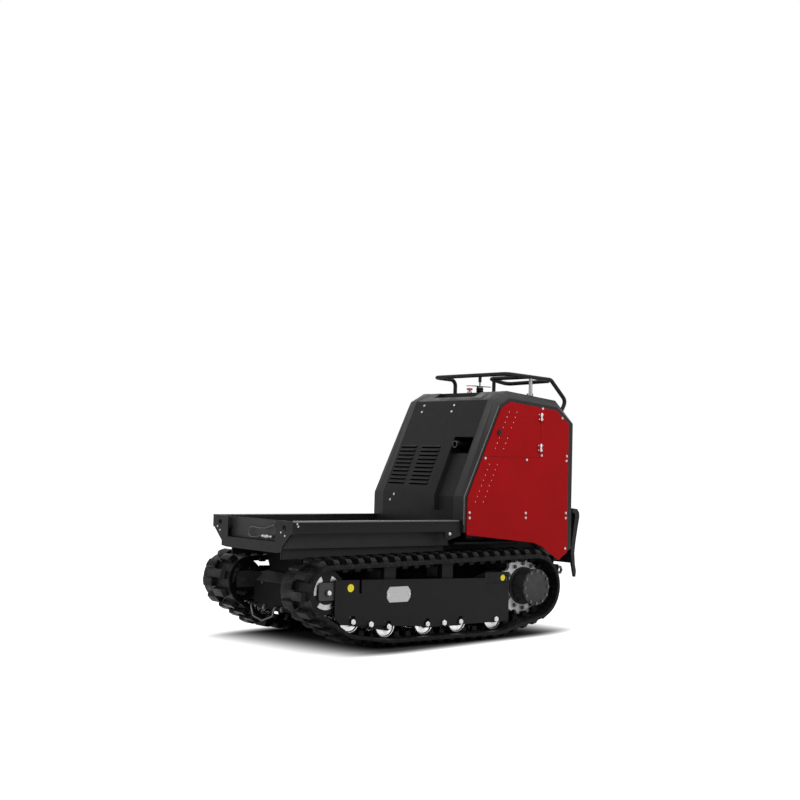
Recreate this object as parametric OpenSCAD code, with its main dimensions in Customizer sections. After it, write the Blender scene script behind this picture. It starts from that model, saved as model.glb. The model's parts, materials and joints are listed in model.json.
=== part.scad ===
// Tracked power carrier: rubber tracks on sprung bogies, a load deck in front, an engine house behind.
// X points forwards, Y to the left and Z up. The origin is on the ground, at the middle of the outline.

/* [Tracks] */
// Width over both belts
track_w = 960; // [900:10:1040]
// Width of one belt
belt_w = 250; // [240:5:270]
// Thickness of the belt without its lugs
belt_t = 18; // [14:1:22]
// Height of a tread lug
lug_h = 26; // [18:1:30]
// Distance from lug to lug along the belt
lug_pitch = 72; // [64:1:84]
// How far a lug's sides draw in towards its top
lug_draft = 3; // [1:0.5:6]
// Distance from a lug's end to the belt's edge
lug_end = 26; // [10:1:40]
// Height of a guide horn inside the belt
horn_h = 24; // [16:1:26]
// Width of a guide horn across the belt
horn_w = 24; // [16:1:26]
// Gap between the two rows of horns, where the sprocket runs
horn_gap = 38; // [34:1:42]

/* [Drive] */
// Radius of the belt's inside round the sprocket
sprocket_r = 150; // [140:1:156]
// Distance of the sprocket's axis behind the house front
sprocket_back = 425; // [415:5:440]
// Height of the sprocket's axis
sprocket_z = 255; // [245:1:262]
// Number of teeth
sprocket_teeth = 13; // [11:1:15]
// Depth of a tooth
tooth_h = 16; // [12:1:22]
// Thickness of the toothed plate
sprocket_t = 20; // [14:1:26]
// Radius of the hub flange that carries the toothed plate
hub_flange_r = 97; // [95:1:104]
// Radius of the hub drum and its cap
hub_r = 93; // [84:1:96]
// Radius of the motor's spindle in the hub
spindle_r = 40; // [30:1:50]
// Radius of the drive motor
motor_r = 66; // [56:1:72]

/* [Rollers] */
// Radius of the belt's inside round the front idler
idler_r = 106; // [100:1:110]
// Distance of the idler's axis ahead of the house front
idler_ahead = 875; // [868:1:880]
// Height of the idler's axis
idler_z = 274; // [268:1:280]
// Radius of the idler's axle
idler_axle_r = 15; // [12:1:18]
// Radius of the belt's inside under a road roller
roller_r = 58; // [52:1:60]
// Width of a roller rim
rim_w = 26; // [20:1:28]
// Radius of a road roller's axle
roller_axle_r = 10; // [8:1:12]
// Distance between the two rollers of a bogie
bogie_span = 214; // [206:2:220]
// Place of the front bogie's pivot ahead of the house front
front_bogie_ahead = 632; // [628:1:636]
// Place of the rear bogie's pivot ahead of the house front
rear_bogie_ahead = 181; // [170:1:192]
// Distance of the fixed roller behind the house front
fixed_roller_back = 164; // [150:2:172]
// Resting tilt of the front bogie, nose up
bogie_tilt = 8.8; // [6:0.2:9]
// Radius of a bogie's pivot pin
bogie_pin_r = 14; // [11:1:16]
// Thickness of a bogie arm
bogie_arm_t = 8; // [6:1:9]

/* [Deck] */
// Length of the deck from the house front to the front cheeks
deck_l = 1024; // [1020:1:1060]
// Width over the side rims
deck_w = 712; // [690:2:740]
// Height of the deck floor's upper face
deck_z = 549; // [545:1:556]
// Height of the side rims above the floor
rim_h = 51; // [40:1:60]
// Radius of the rolled edge on the rims
rim_bead_r = 5.5; // [5:0.5:8]
// Thickness of the deck's sheet metal
deck_t = 8; // [6:1:10]
// Width of the box under the deck floor
deck_box_w = 524; // [500:2:540]
// Depth of the recess in the deck's front
recess_d = 30; // [28:1:60]
// Radius of the holes in the front cheeks
cheek_hole_r = 15; // [10:0.5:18]
// Distance between the cheek holes across the deck
cheek_hole_gap = 574; // [560:2:590]
// Height of the cheek holes
cheek_hole_z = 562; // [558:1:566]

/* [House] */
// Length from the house front to its rear face
house_l = 775; // [765:5:790]
// Width over the side panels
house_w = 760; // [740:2:780]
// Width of the roof between the shoulders
roof_w = 686; // [670:2:700]
// Width of the middle panels between the side frames
middle_w = 584; // [570:2:590]
// Height where the front wall starts to lean back
bend_z = 720; // [700:5:740]
// How far the leaning front sets back
brow_back = 218; // [205:1:225]
// Height of the leaning front's upper edge
brow_z = 1222; // [1210:1:1230]
// Distance of the roof's front edge behind the house front
roof_front_back = 307; // [300:1:315]
// Height of the roof at its front edge
roof_front_z = 1271; // [1265:1:1280]
// Distance of the roof's rear edge behind the house front
roof_rear_back = 664; // [655:1:672]
// Height of the roof at its rear edge
roof_rear_z = 1238; // [1232:1:1244]
// Height where the rear slope ends
tail_z = 1115; // [1100:5:1130]
// Thickness of the house's sheet metal
sheet_t = 4; // [3:0.5:5]
// Thickness of the side panels and doors
panel_t = 6; // [5:0.5:8]
// Inset of a side panel from the frame's edge
panel_inset = 18; // [14:1:24]
// Height of the seam under the doors
door_seam_z = 926; // [910:2:940]
// Distance of the door hinges behind the house front
hinge_back = 522; // [515:1:530]
// Radius of a door hinge barrel
hinge_r = 6; // [5:0.5:8]
// Radius of a door lock
lock_r = 11; // [9:0.5:13]
// Number of louvres in a column
louvre_rows = 10; // [8:1:11]
// Distance from louvre to louvre up the slope
louvre_pitch = 23.6; // [22:0.2:25]
// Length of a louvre
louvre_l = 153; // [130:1:160]
// Width of a louvre's slit
louvre_slit = 7; // [5:0.5:9]

/* [Guard and controls] */
// Radius of the guard rail's tube
rail_r = 9; // [6:0.5:10]
// Radius of the tube's bends
rail_bend = 34; // [28:1:40]
// Height of the front rail's axis
rail_z = 1364; // [1350:1:1370]
// Radius of the chromed post
post_r = 10; // [8:0.5:12]
// Height of the control console's upper face
console_z = 1312; // [1304:1:1320]
// Length of the lever above its pivot
lever_l = 54; // [48:1:60]
// Radius of the stop button's cap
button_r = 16; // [12:0.5:18]
// Travel of the stop button
button_travel = 5; // [3:0.5:6]

/* [Frame and bumper] */
// Width of the central chassis box
chassis_w = 300; // [280:2:310]
// Height of the chassis box's underside
chassis_z = 150; // [140:5:160]
// Height of the chassis rails' upper face
rails_z = 430; // [425:1:434]
// Distance of the bumper's rearmost line behind the house front
bumper_back = 905; // [895:1:920]
// Width of the bumper
bumper_w = 620; // [560:10:660]
// Radius of the bumper's hinge pin
bumper_pin_r = 8; // [6:0.5:10]
// Radius of the tow bow's bar
bow_r = 5; // [4:0.5:8]
// Radius of the holes in the rear tow plates
tow_hole_r = 11; // [9:0.5:13]

/* [Hidden] */
$fn = 64;
// Clearance between parts that stand still, and between a shaft and its bore
gap = 0.2;
run = 0.05;
// Clearance between the belt and what runs inside it
belt_gap = 0.8;
// Middle of the whole outline along X, which the finished parts are shifted by
x_mid = (deck_l - bumper_back) / 2;
tread = belt_t + lug_h;
belt_y = (track_w - belt_w) / 2;
roller_z = tread + roller_r;
sprocket_x = -sprocket_back;
fixed_roller_x = -fixed_roller_back;
pivot_rise = bogie_span / 2 * sin(bogie_tilt);
front_pivot = [front_bogie_ahead, roller_z + pivot_rise];
rear_pivot = [rear_bogie_ahead, roller_z];
half_span = [bogie_span / 2, 0];
nose = [bogie_span / 2 * cos(bogie_tilt), pivot_rise];
rollers = [front_pivot + nose, front_pivot - nose, rear_pivot + half_span, rear_pivot - half_span,
    [fixed_roller_x, roller_z]];
// Rims run outside the horns, arms outside the rims and the cover outside the arms
rim_in = horn_gap / 2 + horn_w + 3;
rim_out = rim_in + rim_w;
arm_in = rim_out + 2;
arm_out = arm_in + bogie_arm_t;
cover_in = arm_out + 6;
cover_t = 5;
// House profile from the side, front foot first and anticlockwise
roof_slope = (roof_front_z - roof_rear_z) / (roof_rear_back - roof_front_back);
sill_z = deck_z - 13;
skirt = [[-house_l, deck_z - 109], [-house_l + 88, deck_z - 147], [-house_l + 152, deck_z - 117],
    [-house_l + 224, deck_z - 78], [-house_l + 288, deck_z - 59], [0, sill_z]];
panel_skirt = [[-house_l + 34, deck_z - 127], [-house_l + 98, deck_z - 167], [-house_l + 155, deck_z - 136],
    [-house_l + 225, deck_z - 93], [-house_l + 284, deck_z - 73], [-panel_inset, deck_z - 25]];
brow = [[0, bend_z], [-brow_back, brow_z], [-roof_front_back, roof_front_z],
    [-roof_rear_back, roof_rear_z], [-house_l + 2, tail_z]];
side_outline = concat(brow, skirt);
tall_outline = concat(brow, [[-house_l, 300], [0, 300]]);
// The shoulders lower and draw in the roof's edges towards the side panels
shoulder_shift = [[0, -4], [-6, -32], [9, -40], [17, -38], [0, 0], [0, 0], [0, 0]];
shoulder_outline = tall_outline + shoulder_shift;
// The house is at least as wide as its roof
side_y = max(house_w, roof_w + 2 * panel_t) / 2;
skin_y = side_y - panel_t;
lean = atan2(brow_back, brow_z - bend_z);
hinge_y = side_y + hinge_r + 0.3;
lock_at = [-226, 1051];
rail_y = roof_w / 2 - 13;
pivot_lever = [-468, -50, console_z - 20];
button_at = [-356, -8];

// Vectors and outlines
function unit(v) = v / norm(v);
function left_of(v) = [-v.y, v.x];
function meet(p, u, q, v) = p + u * ((q.x - p.x) * v.y - (q.y - p.y) * v.x) / (u.x * v.y - u.y * v.x);
function inset(pts, d) = let (n = len(pts)) [for (i = [0:n - 1])
    let (b = pts[i], u = unit(b - pts[(i + n - 1) % n]), v = unit(pts[(i + 1) % n] - b))
    meet(b + left_of(u) * d, u, b + left_of(v) * d, v)];
function sum(v, n) = n <= 0 ? 0 : v[n - 1] + sum(v, n - 1);

// The belt's inside runs round these circles: x, z and radius, anticlockwise from the fixed roller
wheels = [[fixed_roller_x, roller_z, roller_r], [rollers[1].x, rollers[1].y, roller_r],
    [rollers[0].x, rollers[0].y, roller_r], [idler_ahead, idler_z, idler_r],
    [sprocket_x, sprocket_z, sprocket_r]];
wheel_n = len(wheels);
function span(i) = let (a = wheels[i], b = wheels[(i + 1) % wheel_n]) [b.x - a.x, b.y - a.y, a.z - b.z];
function heading(i) = let (s = span(i)) atan2(s.y, s.x) + asin(s.z / norm([s.x, s.y]));
function turn(i) = let (t = heading(i) - heading((i + wheel_n - 1) % wheel_n)) t - 360 * floor(t / 360);
function run_l(i) = let (s = span(i)) sqrt(s.x * s.x + s.y * s.y - s.z * s.z);
legs = [for (i = [0:wheel_n - 1]) each [wheels[i].z * turn(i) * PI / 180, run_l(i)]];
belt_l = sum(legs, len(legs));
lug_n = round(belt_l / lug_pitch);
function leg_at(s, k = 0) = k == len(legs) - 1 || s < legs[k] ? [k, s] : leg_at(s - legs[k], k + 1);
// Point of the belt at a length s along it, a distance out from its inside
function belt_at(s, out) = let (f = leg_at(s), i = floor(f[0] / 2), w = wheels[i],
    back = heading((i + wheel_n - 1) % wheel_n),
    a = f[0] % 2 == 0 ? back + f[1] / w.z * 180 / PI : heading(i),
    on = f[0] % 2 == 0 ? 0 : f[1])
    [w.x, w.y] + [sin(a), -cos(a)] * (w.z + out) + [cos(a), sin(a)] * on;
// The belt is laid out in quarters of the pitch, so that all its rings share their corners
function quarter(k, out, on = 0) = belt_at((k % quarter_n) / quarter_n * belt_l + on, out);
quarter_n = 4 * lug_n;
function belt_ring(out) = [for (k = [0:quarter_n - 1]) quarter(k, out)];
function lugs_first() = [for (k = [0:4:quarter_n - 1]) each [quarter(k, belt_t),
    quarter(k, tread, lug_draft), quarter(k + 1, tread), quarter(k + 2, tread, -lug_draft),
    quarter(k + 2, belt_t), quarter(k + 3, belt_t)]];
function lugs_second() = [for (k = [0:4:quarter_n - 1]) each [quarter(k, belt_t), quarter(k + 1, belt_t),
    quarter(k + 2, belt_t), quarter(k + 2, tread, lug_draft), quarter(k + 3, tread),
    quarter(k + 3, tread, belt_l / quarter_n - lug_draft)]];
function horns() = [for (k = [0:4:quarter_n - 1]) each [quarter(k, 0), quarter(k + 1, 0),
    quarter(k + 1, -horn_h, lug_draft), quarter(k + 3, -horn_h, -lug_draft), quarter(k + 3, 0)]];

// Tubes swept along a path of points
function perp(v) = unit(cross(v, abs(v.z) < 0.8 ? [0, 0, 1] : [1, 0, 0]));
function tangents(p) = [for (i = [0:len(p) - 1]) unit(p[min(i + 1, len(p) - 1)] - p[max(i - 1, 0)])];
function carried(t, i = 0, u = undef) = i == len(t) ? [] :
    let (w = i == 0 ? perp(t[0]) : unit(u - t[i] * (u * t[i]))) concat([w], carried(t, i + 1, w));
function arc(a, p, b, r, steps) = let (u = unit(p - a), v = unit(b - p), half = acos(u * v) / 2,
    start = p - u * r * tan(half), mid = p + unit(v - u) * r / cos(half))
    [for (j = [0:steps]) let (f = 2 * half * j / steps) mid + (start - mid) * cos(f) + u * r * sin(f)];
function bent(p, r, steps) = [p[0], for (i = [1:len(p) - 2]) each arc(p[i - 1], p[i], p[i + 1], r, steps),
    p[len(p) - 1]];
module sweep(path, r, sides) {
    t = tangents(path);
    u = carried(t);
    n = len(path);
    points = [for (i = [0:n - 1]) for (k = [0:sides - 1]) let (a = 360 * k / sides)
        path[i] + r * (cos(a) * u[i] + sin(a) * cross(t[i], u[i]))];
    walls = [for (i = [0:n - 2]) for (k = [0:sides - 1])
        let (a = i * sides + k, b = i * sides + (k + 1) % sides)
        each [[a, a + sides, b + sides], [a, b + sides, b]]];
    caps = [for (k = [1:sides - 2]) each [[0, k, k + 1],
        [(n - 1) * sides, (n - 1) * sides + k + 1, (n - 1) * sides + k]]];
    polyhedron(points, concat(walls, caps));
}

// Helpers for placing
module placed() { translate([-x_mid, 0, 0]) children(); }
module slab(y, t) { translate([0, y + t, 0]) rotate([90, 0, 0]) linear_extrude(t) children(); }
module rod(x, z, y, l, r) { translate([x, y + l, z]) rotate([90, 0, 0]) cylinder(h = l, r = r); }
module rod_x(x, y, z, l, r) { translate([x, y, z]) rotate([0, 90, 0]) cylinder(h = l, r = r); }
module box(x, y, z) { translate([x[0], y[0], z[0]]) cube([x[1] - x[0], y[1] - y[0], z[1] - z[0]]); }
module both() { children(); mirror([0, 1, 0]) children(); }
module opposite() { mirror([0, 1, 0]) children(); }

// Central frame between the tracks
rail_in = 95;
rail_out = 145;
chassis_front = deck_l - 124;
chassis_rear = -house_l + 35;
bumper_pivot = [-house_l - 28, 385];
beam_z = [215, 290];
beam_in = chassis_w / 2 + gap;
beam_spans = [[-130, -50], [430, 510]];
frame_y = [belt_y - 55, belt_y + 55];
frame_z = [205, 300];
nose_drop = 60;
nose_z = 331;
nose_wall_t = 8;
module chassis_frame() color("dimgray") placed() {
    slab(-chassis_w / 2, chassis_w) polygon([[chassis_rear, chassis_z], [chassis_front - 20, chassis_z],
        [chassis_front, chassis_z + 20], [chassis_front, 283], [chassis_front - nose_drop, nose_z],
        [chassis_front - nose_drop - 30, nose_z], [chassis_front - nose_drop - 60, 300],
        [chassis_rear, 300]]);
    translate([chassis_front - nose_drop - 20, 0, 0]) rotate([90, 0, 90]) linear_extrude(nose_wall_t)
        polygon([[-120, nose_z - 1], [chassis_w / 2, nose_z - 1], [chassis_w / 2, rails_z],
            [-170, rails_z]]);
    both() box([chassis_rear, chassis_front - 120], [rail_in, rail_out], [299, rails_z]);
    box([chassis_rear - 30, chassis_rear + 1], [-290, 290], [310, 350]);
    both() slab(200, 16) polygon([[chassis_rear - 29, 312], [chassis_rear - 29, 349],
        [bumper_pivot.x + 13, 402], [bumper_pivot.x - 15, 402], [bumper_pivot.x - 15, 370]]);
    both() rod(bumper_pivot.x, bumper_pivot.y, 190, 46, bumper_pin_r);
}
module cross_beams() color("dimgray") placed() both() for (s = beam_spans)
    box(s, [beam_in, frame_y[0] - gap], beam_z);
bow_x = chassis_front + 26;
tow_bow = [[chassis_front + gap, -138, 172], [bow_x, -138, 172], [bow_x, -112, 116], [bow_x, -30, 100],
    [bow_x, 60, 130], [bow_x, 74, 174], [chassis_front + gap, 74, 174]];
module tow_fittings() color("silver") placed() {
    sweep(bent(tow_bow, 14, 5), bow_r, 10);
    both() difference() {
        slab(262, 14) polygon([[chassis_rear - 30 - gap, 318], [chassis_rear - 30 - gap, 346],
            [chassis_rear - 66, 340], [chassis_rear - 78, 318], [chassis_rear - 66, 296],
            [chassis_rear - 44, 296]]);
        rod(chassis_rear - 56, 318, 261, 16, tow_hole_r);
    }
}

// Left track, mirrored for the right one
module hanger(p) {
    box([p.x - 22, p.x + 22], [belt_y - 55, belt_y + 55], [p.y, frame_z[0] + 1]);
    rod(p.x, p.y, belt_y - 55, 110, 22);
    rod(p.x, p.y, belt_y - arm_out, arm_out + cover_in - gap, bogie_pin_r);
    rod(p.x, p.y, belt_y + arm_out + gap, cover_in - arm_out - 2 * gap, bogie_pin_r + 4);
    rod(p.x, p.y, belt_y + cover_in - 1, cover_t + 2, bogie_pin_r - 5);
    rod(p.x, p.y, belt_y + cover_in + cover_t + gap, 9, bogie_pin_r + 1, $fn = 6);
}
frame_rear = sprocket_x + sprocket_r + 12;
fork_l = 58;
frame_front = idler_ahead - idler_r - fork_l;
motor_plate_y = [belt_y - 72, belt_y - 60];
tension_r = 20;
module track_frame() {
    difference() {
        box([frame_rear, frame_front], frame_y, frame_z);
        rod_x(frame_front - 100, belt_y, 265, 101, tension_r + gap);
    }
    slab(motor_plate_y[0], motor_plate_y[1] - motor_plate_y[0]) difference() {
        polygon([[sprocket_x - 80, sprocket_z - 60], [sprocket_x - 40, sprocket_z - 95],
            [frame_rear + 20, sprocket_z - 95], [frame_rear + 120, frame_z[0]],
            [frame_rear + 120, frame_z[1]], [frame_rear + 20, frame_z[1] + 30],
            [sprocket_x - 40, sprocket_z + 95], [sprocket_x - 80, sprocket_z + 60]]);
        translate([sprocket_x, sprocket_z]) circle(r = spindle_r + 12);
    }
    box([frame_rear + 10, frame_rear + 110], [motor_plate_y[1] - 1, frame_y[0] + 1],
        [frame_z[0] + 5, frame_z[1] - 5]);
    hanger(front_pivot);
    hanger(rear_pivot);
    box([fixed_roller_x - 34, fixed_roller_x + 34], [belt_y - arm_out, belt_y + arm_out],
        [frame_z[0] - 12, frame_z[0] + 1]);
    for (side = [-1, 1]) slab(belt_y + side * (arm_in + arm_out) / 2 - bogie_arm_t / 2, bogie_arm_t)
        polygon([[fixed_roller_x - 34, frame_z[0] - 2], [fixed_roller_x - 18, roller_z - 18],
            [fixed_roller_x + 18, roller_z - 18], [fixed_roller_x + 34, frame_z[0] - 2]]);
    rod(fixed_roller_x, roller_z, belt_y - arm_out, 2 * arm_out, roller_axle_r);
    rod(fixed_roller_x, roller_z, belt_y + arm_out - 1, cover_in - arm_out + 1 - gap, roller_axle_r + 4);
    rod(fixed_roller_x, roller_z, belt_y + cover_in - 1, cover_t + 2, roller_axle_r - 2);
    rod(fixed_roller_x, roller_z, belt_y + cover_in + cover_t + gap, 9, bogie_pin_r, $fn = 6);
    for (x = cover_posts) {
        rod(x, cover_post_z, frame_y[1] - 1, belt_y + cover_in - gap - frame_y[1] + 1, 12);
        rod(x, cover_post_z, belt_y + cover_in - 1, cover_t + 1, 7);
    }
    box(notch_x, [bracket_y - bracket_t, bracket_y], bracket_z);
    box([notch_x[0] + 30, notch_x[1] - 30], [frame_y[1] - 1, bracket_y - 1],
        [bracket_z[0] + 6, frame_z[1] - 4]);
    both_carriers();
}
cover_posts = [455, -60];
cover_post_z = 250;
carrier_spans = [[110, 180], [470, 540]];
idler_top = idler_z + idler_r;
top_fall = (sprocket_z + sprocket_r - idler_top) / (idler_ahead - sprocket_x);
function top_run(x) = idler_top + top_fall * (idler_ahead - x);
module both_carriers() for (s = carrier_spans) {
    box(s, [belt_y - rim_out, belt_y - rim_in], [frame_z[1] - 1, top_run(s[1]) - 1.2]);
    box(s, [belt_y + rim_in, belt_y + rim_out], [frame_z[1] - 1, top_run(s[1]) - 1.2]);
    box(s, [belt_y - rim_out, belt_y + rim_out], [frame_z[1] - 1, frame_z[1] + 16]);
}
module left_track_frame() color("dimgray") placed() track_frame();
module right_track_frame() color("dimgray") placed() opposite() track_frame();

// Cover plate with keyholes for the roller axles
slot_w = roller_axle_r + 6;
slot_up = 26;
notch_x = [-240, -92];
bracket_y = belt_y + cover_in - gap;
bracket_t = 5;
bracket_z = [262, 338];
cover_cut = [belt_y + cover_in - 1, belt_y + cover_in + cover_t + 1];
module track_cover() difference() {
    slab(belt_y + cover_in, cover_t) polygon([[notch_x[0] - 14, 88], [250, 88], [805, 123], [840, 157],
        [840, 331], [702, 328], [702, 268], [688, 262], [688, 328], [notch_x[1], 311], [notch_x[1], 282],
        [notch_x[0], 282], [notch_x[0], bracket_z[1]], [notch_x[0] - 14, bracket_z[1]]]);
    for (i = [0:3]) {
        p = rollers[i];
        rod(p.x, p.y, cover_cut[0], cover_t + 2, slot_w);
        box([p.x - slot_w, p.x + slot_w], cover_cut, [p.y, p.y + slot_up]);
        box([p.x - slot_w, p.x + slot_w], cover_cut, [p.y - slot_up * 2, p.y]);
    }
    for (p = [front_pivot, rear_pivot]) rod(p.x, p.y, cover_cut[0], cover_t + 2, bogie_pin_r - 5 + gap);
    rod(fixed_roller_x, roller_z, belt_y + cover_in - 1, cover_t + 2, roller_axle_r - 2 + gap);
    for (x = cover_posts) rod(x, cover_post_z, belt_y + cover_in - 1, cover_t + 2, 7 + gap);
}
module left_track_cover() color("gray") placed() track_cover();
module right_track_cover() color("gray") placed() opposite() track_cover();

// Rubber belt: tread blocks staggered from half to half, guide horns in two rows
lug_l = belt_w / 2 - lug_end;
module belt_slab(y, w, outline) slab(y, w) difference() {
    polygon(outline);
    polygon(belt_ring(0));
}
module horn_row(y) slab(y, horn_w) difference() {
    polygon(belt_ring(belt_t / 2));
    polygon(horns());
}
module track_belt() {
    belt_slab(belt_y, lug_l, lugs_first());
    belt_slab(belt_y - lug_l, lug_l, lugs_second());
    for (y = [belt_y + lug_l, belt_y - belt_w / 2]) belt_slab(y, lug_end, belt_ring(belt_t));
    horn_row(belt_y + horn_gap / 2);
    horn_row(belt_y - horn_gap / 2 - horn_w);
}
module left_track_belt() color("#303030") placed() track_belt();
module right_track_belt() color("#303030") placed() opposite() track_belt();

// Drive: toothed plate, hub with its cap, motor
tip_r = sprocket_r - belt_gap;
root_r = tip_r - tooth_h;
flange_y = belt_y + sprocket_t / 2 + gap;
hub_end = belt_y + belt_w / 2 - 8;
hub_bolts = 12;
plate_bolt_r = (hub_flange_r + root_r) / 2;
module bolt_ring(ring, y, l, r) for (i = [0:hub_bolts - 1]) let (a = 360 * i / hub_bolts)
    rod(sprocket_x + ring * cos(a), sprocket_z + ring * sin(a), y, l, r);
module sprocket() {
    bolt_ring(plate_bolt_r, belt_y + sprocket_t / 2 - 1, 7, 6);
    toothed_plate();
}
module toothed_plate() difference() {
    slab(belt_y - sprocket_t / 2, sprocket_t) polygon([for (i = [0:sprocket_teeth - 1])
        for (t = [[root_r, -0.34], [tip_r, -0.15], [tip_r, 0.15], [root_r, 0.34]])
        let (a = (i + t[1]) * 360 / sprocket_teeth) [sprocket_x, sprocket_z] + t[0] * [cos(a), sin(a)]]);
    rod(sprocket_x, sprocket_z, belt_y - sprocket_t, 2 * sprocket_t, hub_r - 4 + gap);
}
module drive_hub() {
    difference() {
        union() {
            rod(sprocket_x, sprocket_z, flange_y, 14, hub_flange_r);
            rod(sprocket_x, sprocket_z, belt_y - 30, hub_end - belt_y + 30 - 16, hub_r - 4);
            rod(sprocket_x, sprocket_z, hub_end - 20, 20, hub_r);
        }
        rod(sprocket_x, sprocket_z, belt_y - 31, 92, spindle_r + run);
    }
    bolt_ring(hub_r - 10, hub_end - 1, 7, 5.5);
}
module drive_motor() {
    rod(sprocket_x, sprocket_z, belt_y - 130, 130 + motor_plate_y[0] - belt_y - gap, motor_r);
    rod(sprocket_x, sprocket_z, motor_plate_y[0] - 1, belt_y + 55 - motor_plate_y[0] + 1, spindle_r);
}
module left_sprocket() color("silver") placed() sprocket();
module right_sprocket() color("silver") placed() opposite() sprocket();
module left_drive_hub() color("#3a3a3a") placed() drive_hub();
module right_drive_hub() color("#3a3a3a") placed() opposite() drive_hub();
module drive_motors() color("#454545") placed() both() drive_motor();

// Wheels that run in the belt
module wheel(p, r, barrel, axle) difference() {
    union() {
        for (y = [rim_in, -rim_out]) rod(p.x, p.y, belt_y + y, rim_w, r - belt_gap);
        rod(p.x, p.y, belt_y - rim_out, 2 * rim_out, barrel);
    }
    rod(p.x, p.y, belt_y - rim_out - 1, 2 * rim_out + 2, axle + run);
}
roller_barrel = 28;
module roller(i) wheel(rollers[i], roller_r, roller_barrel, roller_axle_r);
module idler() wheel([idler_ahead, idler_z], idler_r, idler_r - horn_h - 6, idler_axle_r);
module left_idler() color("silver") placed() idler();
module right_idler() color("silver") placed() opposite() idler();
module left_roller_1() color("silver") placed() roller(0);
module left_roller_2() color("silver") placed() roller(1);
module left_roller_3() color("silver") placed() roller(2);
module left_roller_4() color("silver") placed() roller(3);
module left_roller_5() color("silver") placed() roller(4);
module right_roller_1() color("silver") placed() opposite() roller(0);
module right_roller_2() color("silver") placed() opposite() roller(1);
module right_roller_3() color("silver") placed() opposite() roller(2);
module right_roller_4() color("silver") placed() opposite() roller(3);
module right_roller_5() color("silver") placed() opposite() roller(4);

// Fork that carries the idler and slides in the frame's nose
yoke_x = frame_front + gap;
module idler_yoke() {
    difference() {
        rod_x(frame_front - 98, belt_y, 265, 99 + gap, tension_r);
        rod_x(frame_front - 99, belt_y, 265, 40, 9);
    }
    box([yoke_x, yoke_x + 44], [belt_y - arm_out, belt_y + arm_out], [238, 302]);
    for (side = [-1, 1]) slab(belt_y + side * (arm_in + arm_out) / 2 - bogie_arm_t / 2, bogie_arm_t)
        polygon([[yoke_x, 238], [idler_ahead + 42, idler_z - 36], [idler_ahead + 50, idler_z - 28],
            [idler_ahead + 50, idler_z + 34], [idler_ahead + 38, idler_z + 46],
            [idler_ahead - 22, idler_z + 46], [yoke_x, 302]]);
    rod(idler_ahead, idler_z, belt_y - arm_out - 6, 2 * arm_out + 14, idler_axle_r);
    rod(idler_ahead, idler_z, belt_y + arm_out + 7, 8, idler_axle_r - 3, $fn = 6);
}
module left_idler_yoke() color("dimgray") placed() idler_yoke();
module right_idler_yoke() color("dimgray") placed() opposite() idler_yoke();

// Rocking bogies with two axles each
module bogie(pivot, tilt) translate([pivot.x, 0, pivot.y]) rotate([0, -tilt, 0]) {
    for (side = [-1, 1]) difference() {
        slab(belt_y + side * (arm_in + arm_out) / 2 - bogie_arm_t / 2, bogie_arm_t)
            polygon([[-bogie_span / 2 - 20, -12], [-bogie_span / 2 - 12, -20], [bogie_span / 2 + 12, -20],
                [bogie_span / 2 + 20, -12], [bogie_span / 2 + 16, 16], [28, 30], [-28, 30],
                [-bogie_span / 2 - 16, 16]]);
        rod(0, 0, belt_y - arm_out - 1, 2 * arm_out + 2, bogie_pin_r + run);
    }
    for (x = [-bogie_span / 2, bogie_span / 2]) {
        rod(x, 0, belt_y - arm_out - 8, 2 * arm_out + 8 + cover_in - arm_out + cover_t + 4, roller_axle_r);
        rod(x, 0, belt_y + cover_in + cover_t + 1, 9, roller_axle_r + 4, $fn = 6);
    }
}
module left_front_bogie() color("dimgray") placed() bogie(front_pivot, bogie_tilt);
module left_rear_bogie() color("dimgray") placed() bogie(rear_pivot, 0);
module right_front_bogie() color("dimgray") placed() opposite() bogie(front_pivot, bogie_tilt);
module right_rear_bogie() color("dimgray") placed() opposite() bogie(rear_pivot, 0);

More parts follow.
